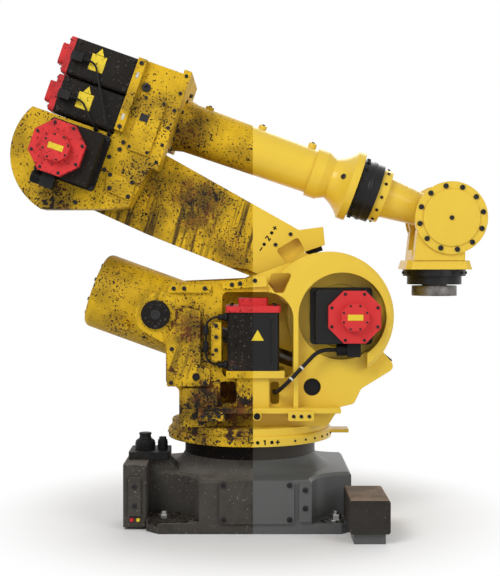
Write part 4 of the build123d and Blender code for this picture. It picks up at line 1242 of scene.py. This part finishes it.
@dataclass
class Studio:
    """Floor, light and the camera of the photograph."""

    eye_height: float = 0.906
    eye_distance: float = 4.0
    lens: float = 68.9
    sensor: float = 36.0
    tilt: float = 1.35
    half: float = 40.0
    pale: Colour = (0.9, 0.9, 0.9)
    white: Colour = (1.0, 1.0, 1.0)
    fade: Spot = (0.5, 1.05)
    ambient: float = 0.42
    lamps: tuple[Lamp, ...] = (Lamp("key_lamp", (-1.9, -3.2, 3.6), (0, 0, 0.9), 1.8, 95.0),
                               Lamp("fill_lamp", (3.0, -3.2, 2.0), (0.1, 0, 0.8), 2.4, 42.0),
                               Lamp("rim_lamp", (0.6, 3.2, 3.4), (0, 0, 1.0), 2.6, 60.0))

    def build(self) -> None:
        """Makes the stage, the lamps and the camera."""
        self._floor()
        self._surround()
        for lamp in self.lamps:
            lamp.make()
        self._camera()

    def _floor(self) -> None:
        """Pale floor that keeps the shadow near the arm and is plain white farther off."""
        data = bpy.data.meshes.new("studio_floor")
        places = [(x * self.half, y * self.half, 0) for x, y in ((-1, -1), (1, -1), (1, 1), (-1, 1))]
        data.from_pydata(places, [], [(0, 1, 2, 3)])
        floor = bpy.data.objects.new("studio_floor", data)
        bpy.context.scene.collection.objects.link(floor)
        s = Shader("pale_floor")
        reach = s.node("ShaderNodeVectorMath", {"operation": "LENGTH"}, {0: s.coords}, "Value")
        s.put(Base_Color=self.pale, Roughness=0.8, Specular_IOR_Level=0.1)
        seen = self._seen(s) * reach.ramp(*self.fade)
        glow = s.node("ShaderNodeEmission", {}, {"Color": self.white}, 0)
        both = s.node("ShaderNodeMixShader", {}, {0: seen, 1: Field(s, s.surface.outputs[0]), 2: glow}, 0)
        s.feed(s.tree.nodes["Material Output"].inputs["Surface"], both)
        data.materials.append(s.material)

    def _seen(self, graph: Graph) -> Field:
        """Mask of the rays that show the backdrop itself."""
        camera, glossy, through = (graph.node("ShaderNodeLightPath", {}, {}, f"Is {kind} Ray")
                                   for kind in ("Camera", "Glossy", "Transmission"))
        return camera | glossy | through

    def _surround(self) -> None:
        """White surround that lights softly."""
        world = bpy.data.worlds.new("studio_white")
        bpy.context.scene.world = world
        world.use_nodes = True
        graph = Graph(world.node_tree)
        light = graph.tree.nodes["Background"]
        graph.feed(light.inputs["Color"], self.white)
        graph.feed(light.inputs["Strength"], self.ambient)
        plain = graph.node("ShaderNodeBackground", {}, {"Color": self.white, "Strength": 1.0}, 0)
        both = graph.node("ShaderNodeMixShader", {},
                          {0: self._seen(graph), 1: Field(graph, light.outputs[0]), 2: plain}, 0)
        graph.feed(graph.tree.nodes["World Output"].inputs["Surface"], both)

    def _camera(self) -> None:
        """Camera of the photograph."""
        data = bpy.data.cameras.new("camera")
        data.sensor_width = self.sensor
        data.lens = self.lens
        camera = bpy.data.objects.new("camera", data)
        camera.location = (0.0, -self.eye_distance, self.eye_height)
        camera.rotation_euler = (math.radians(90.0 - self.tilt), 0.0, 0.0)
        bpy.context.scene.collection.objects.link(camera)
        bpy.context.scene.camera = camera
        bpy.context.scene.view_settings.view_transform = "Standard"


def main() -> None:
    """Dresses the solids, adds the fine pieces and sets the stage."""
    logging.basicConfig(level=logging.INFO)
    finishes = Finishes()
    finishes.dress()
    skin = Skin()
    for part in (Pedestal, Turret, Balancer, LowerArm, Elbow, Wrist):
        part(finishes, skin).build()
    Studio().build()


if __name__ == "__main__":
    main()
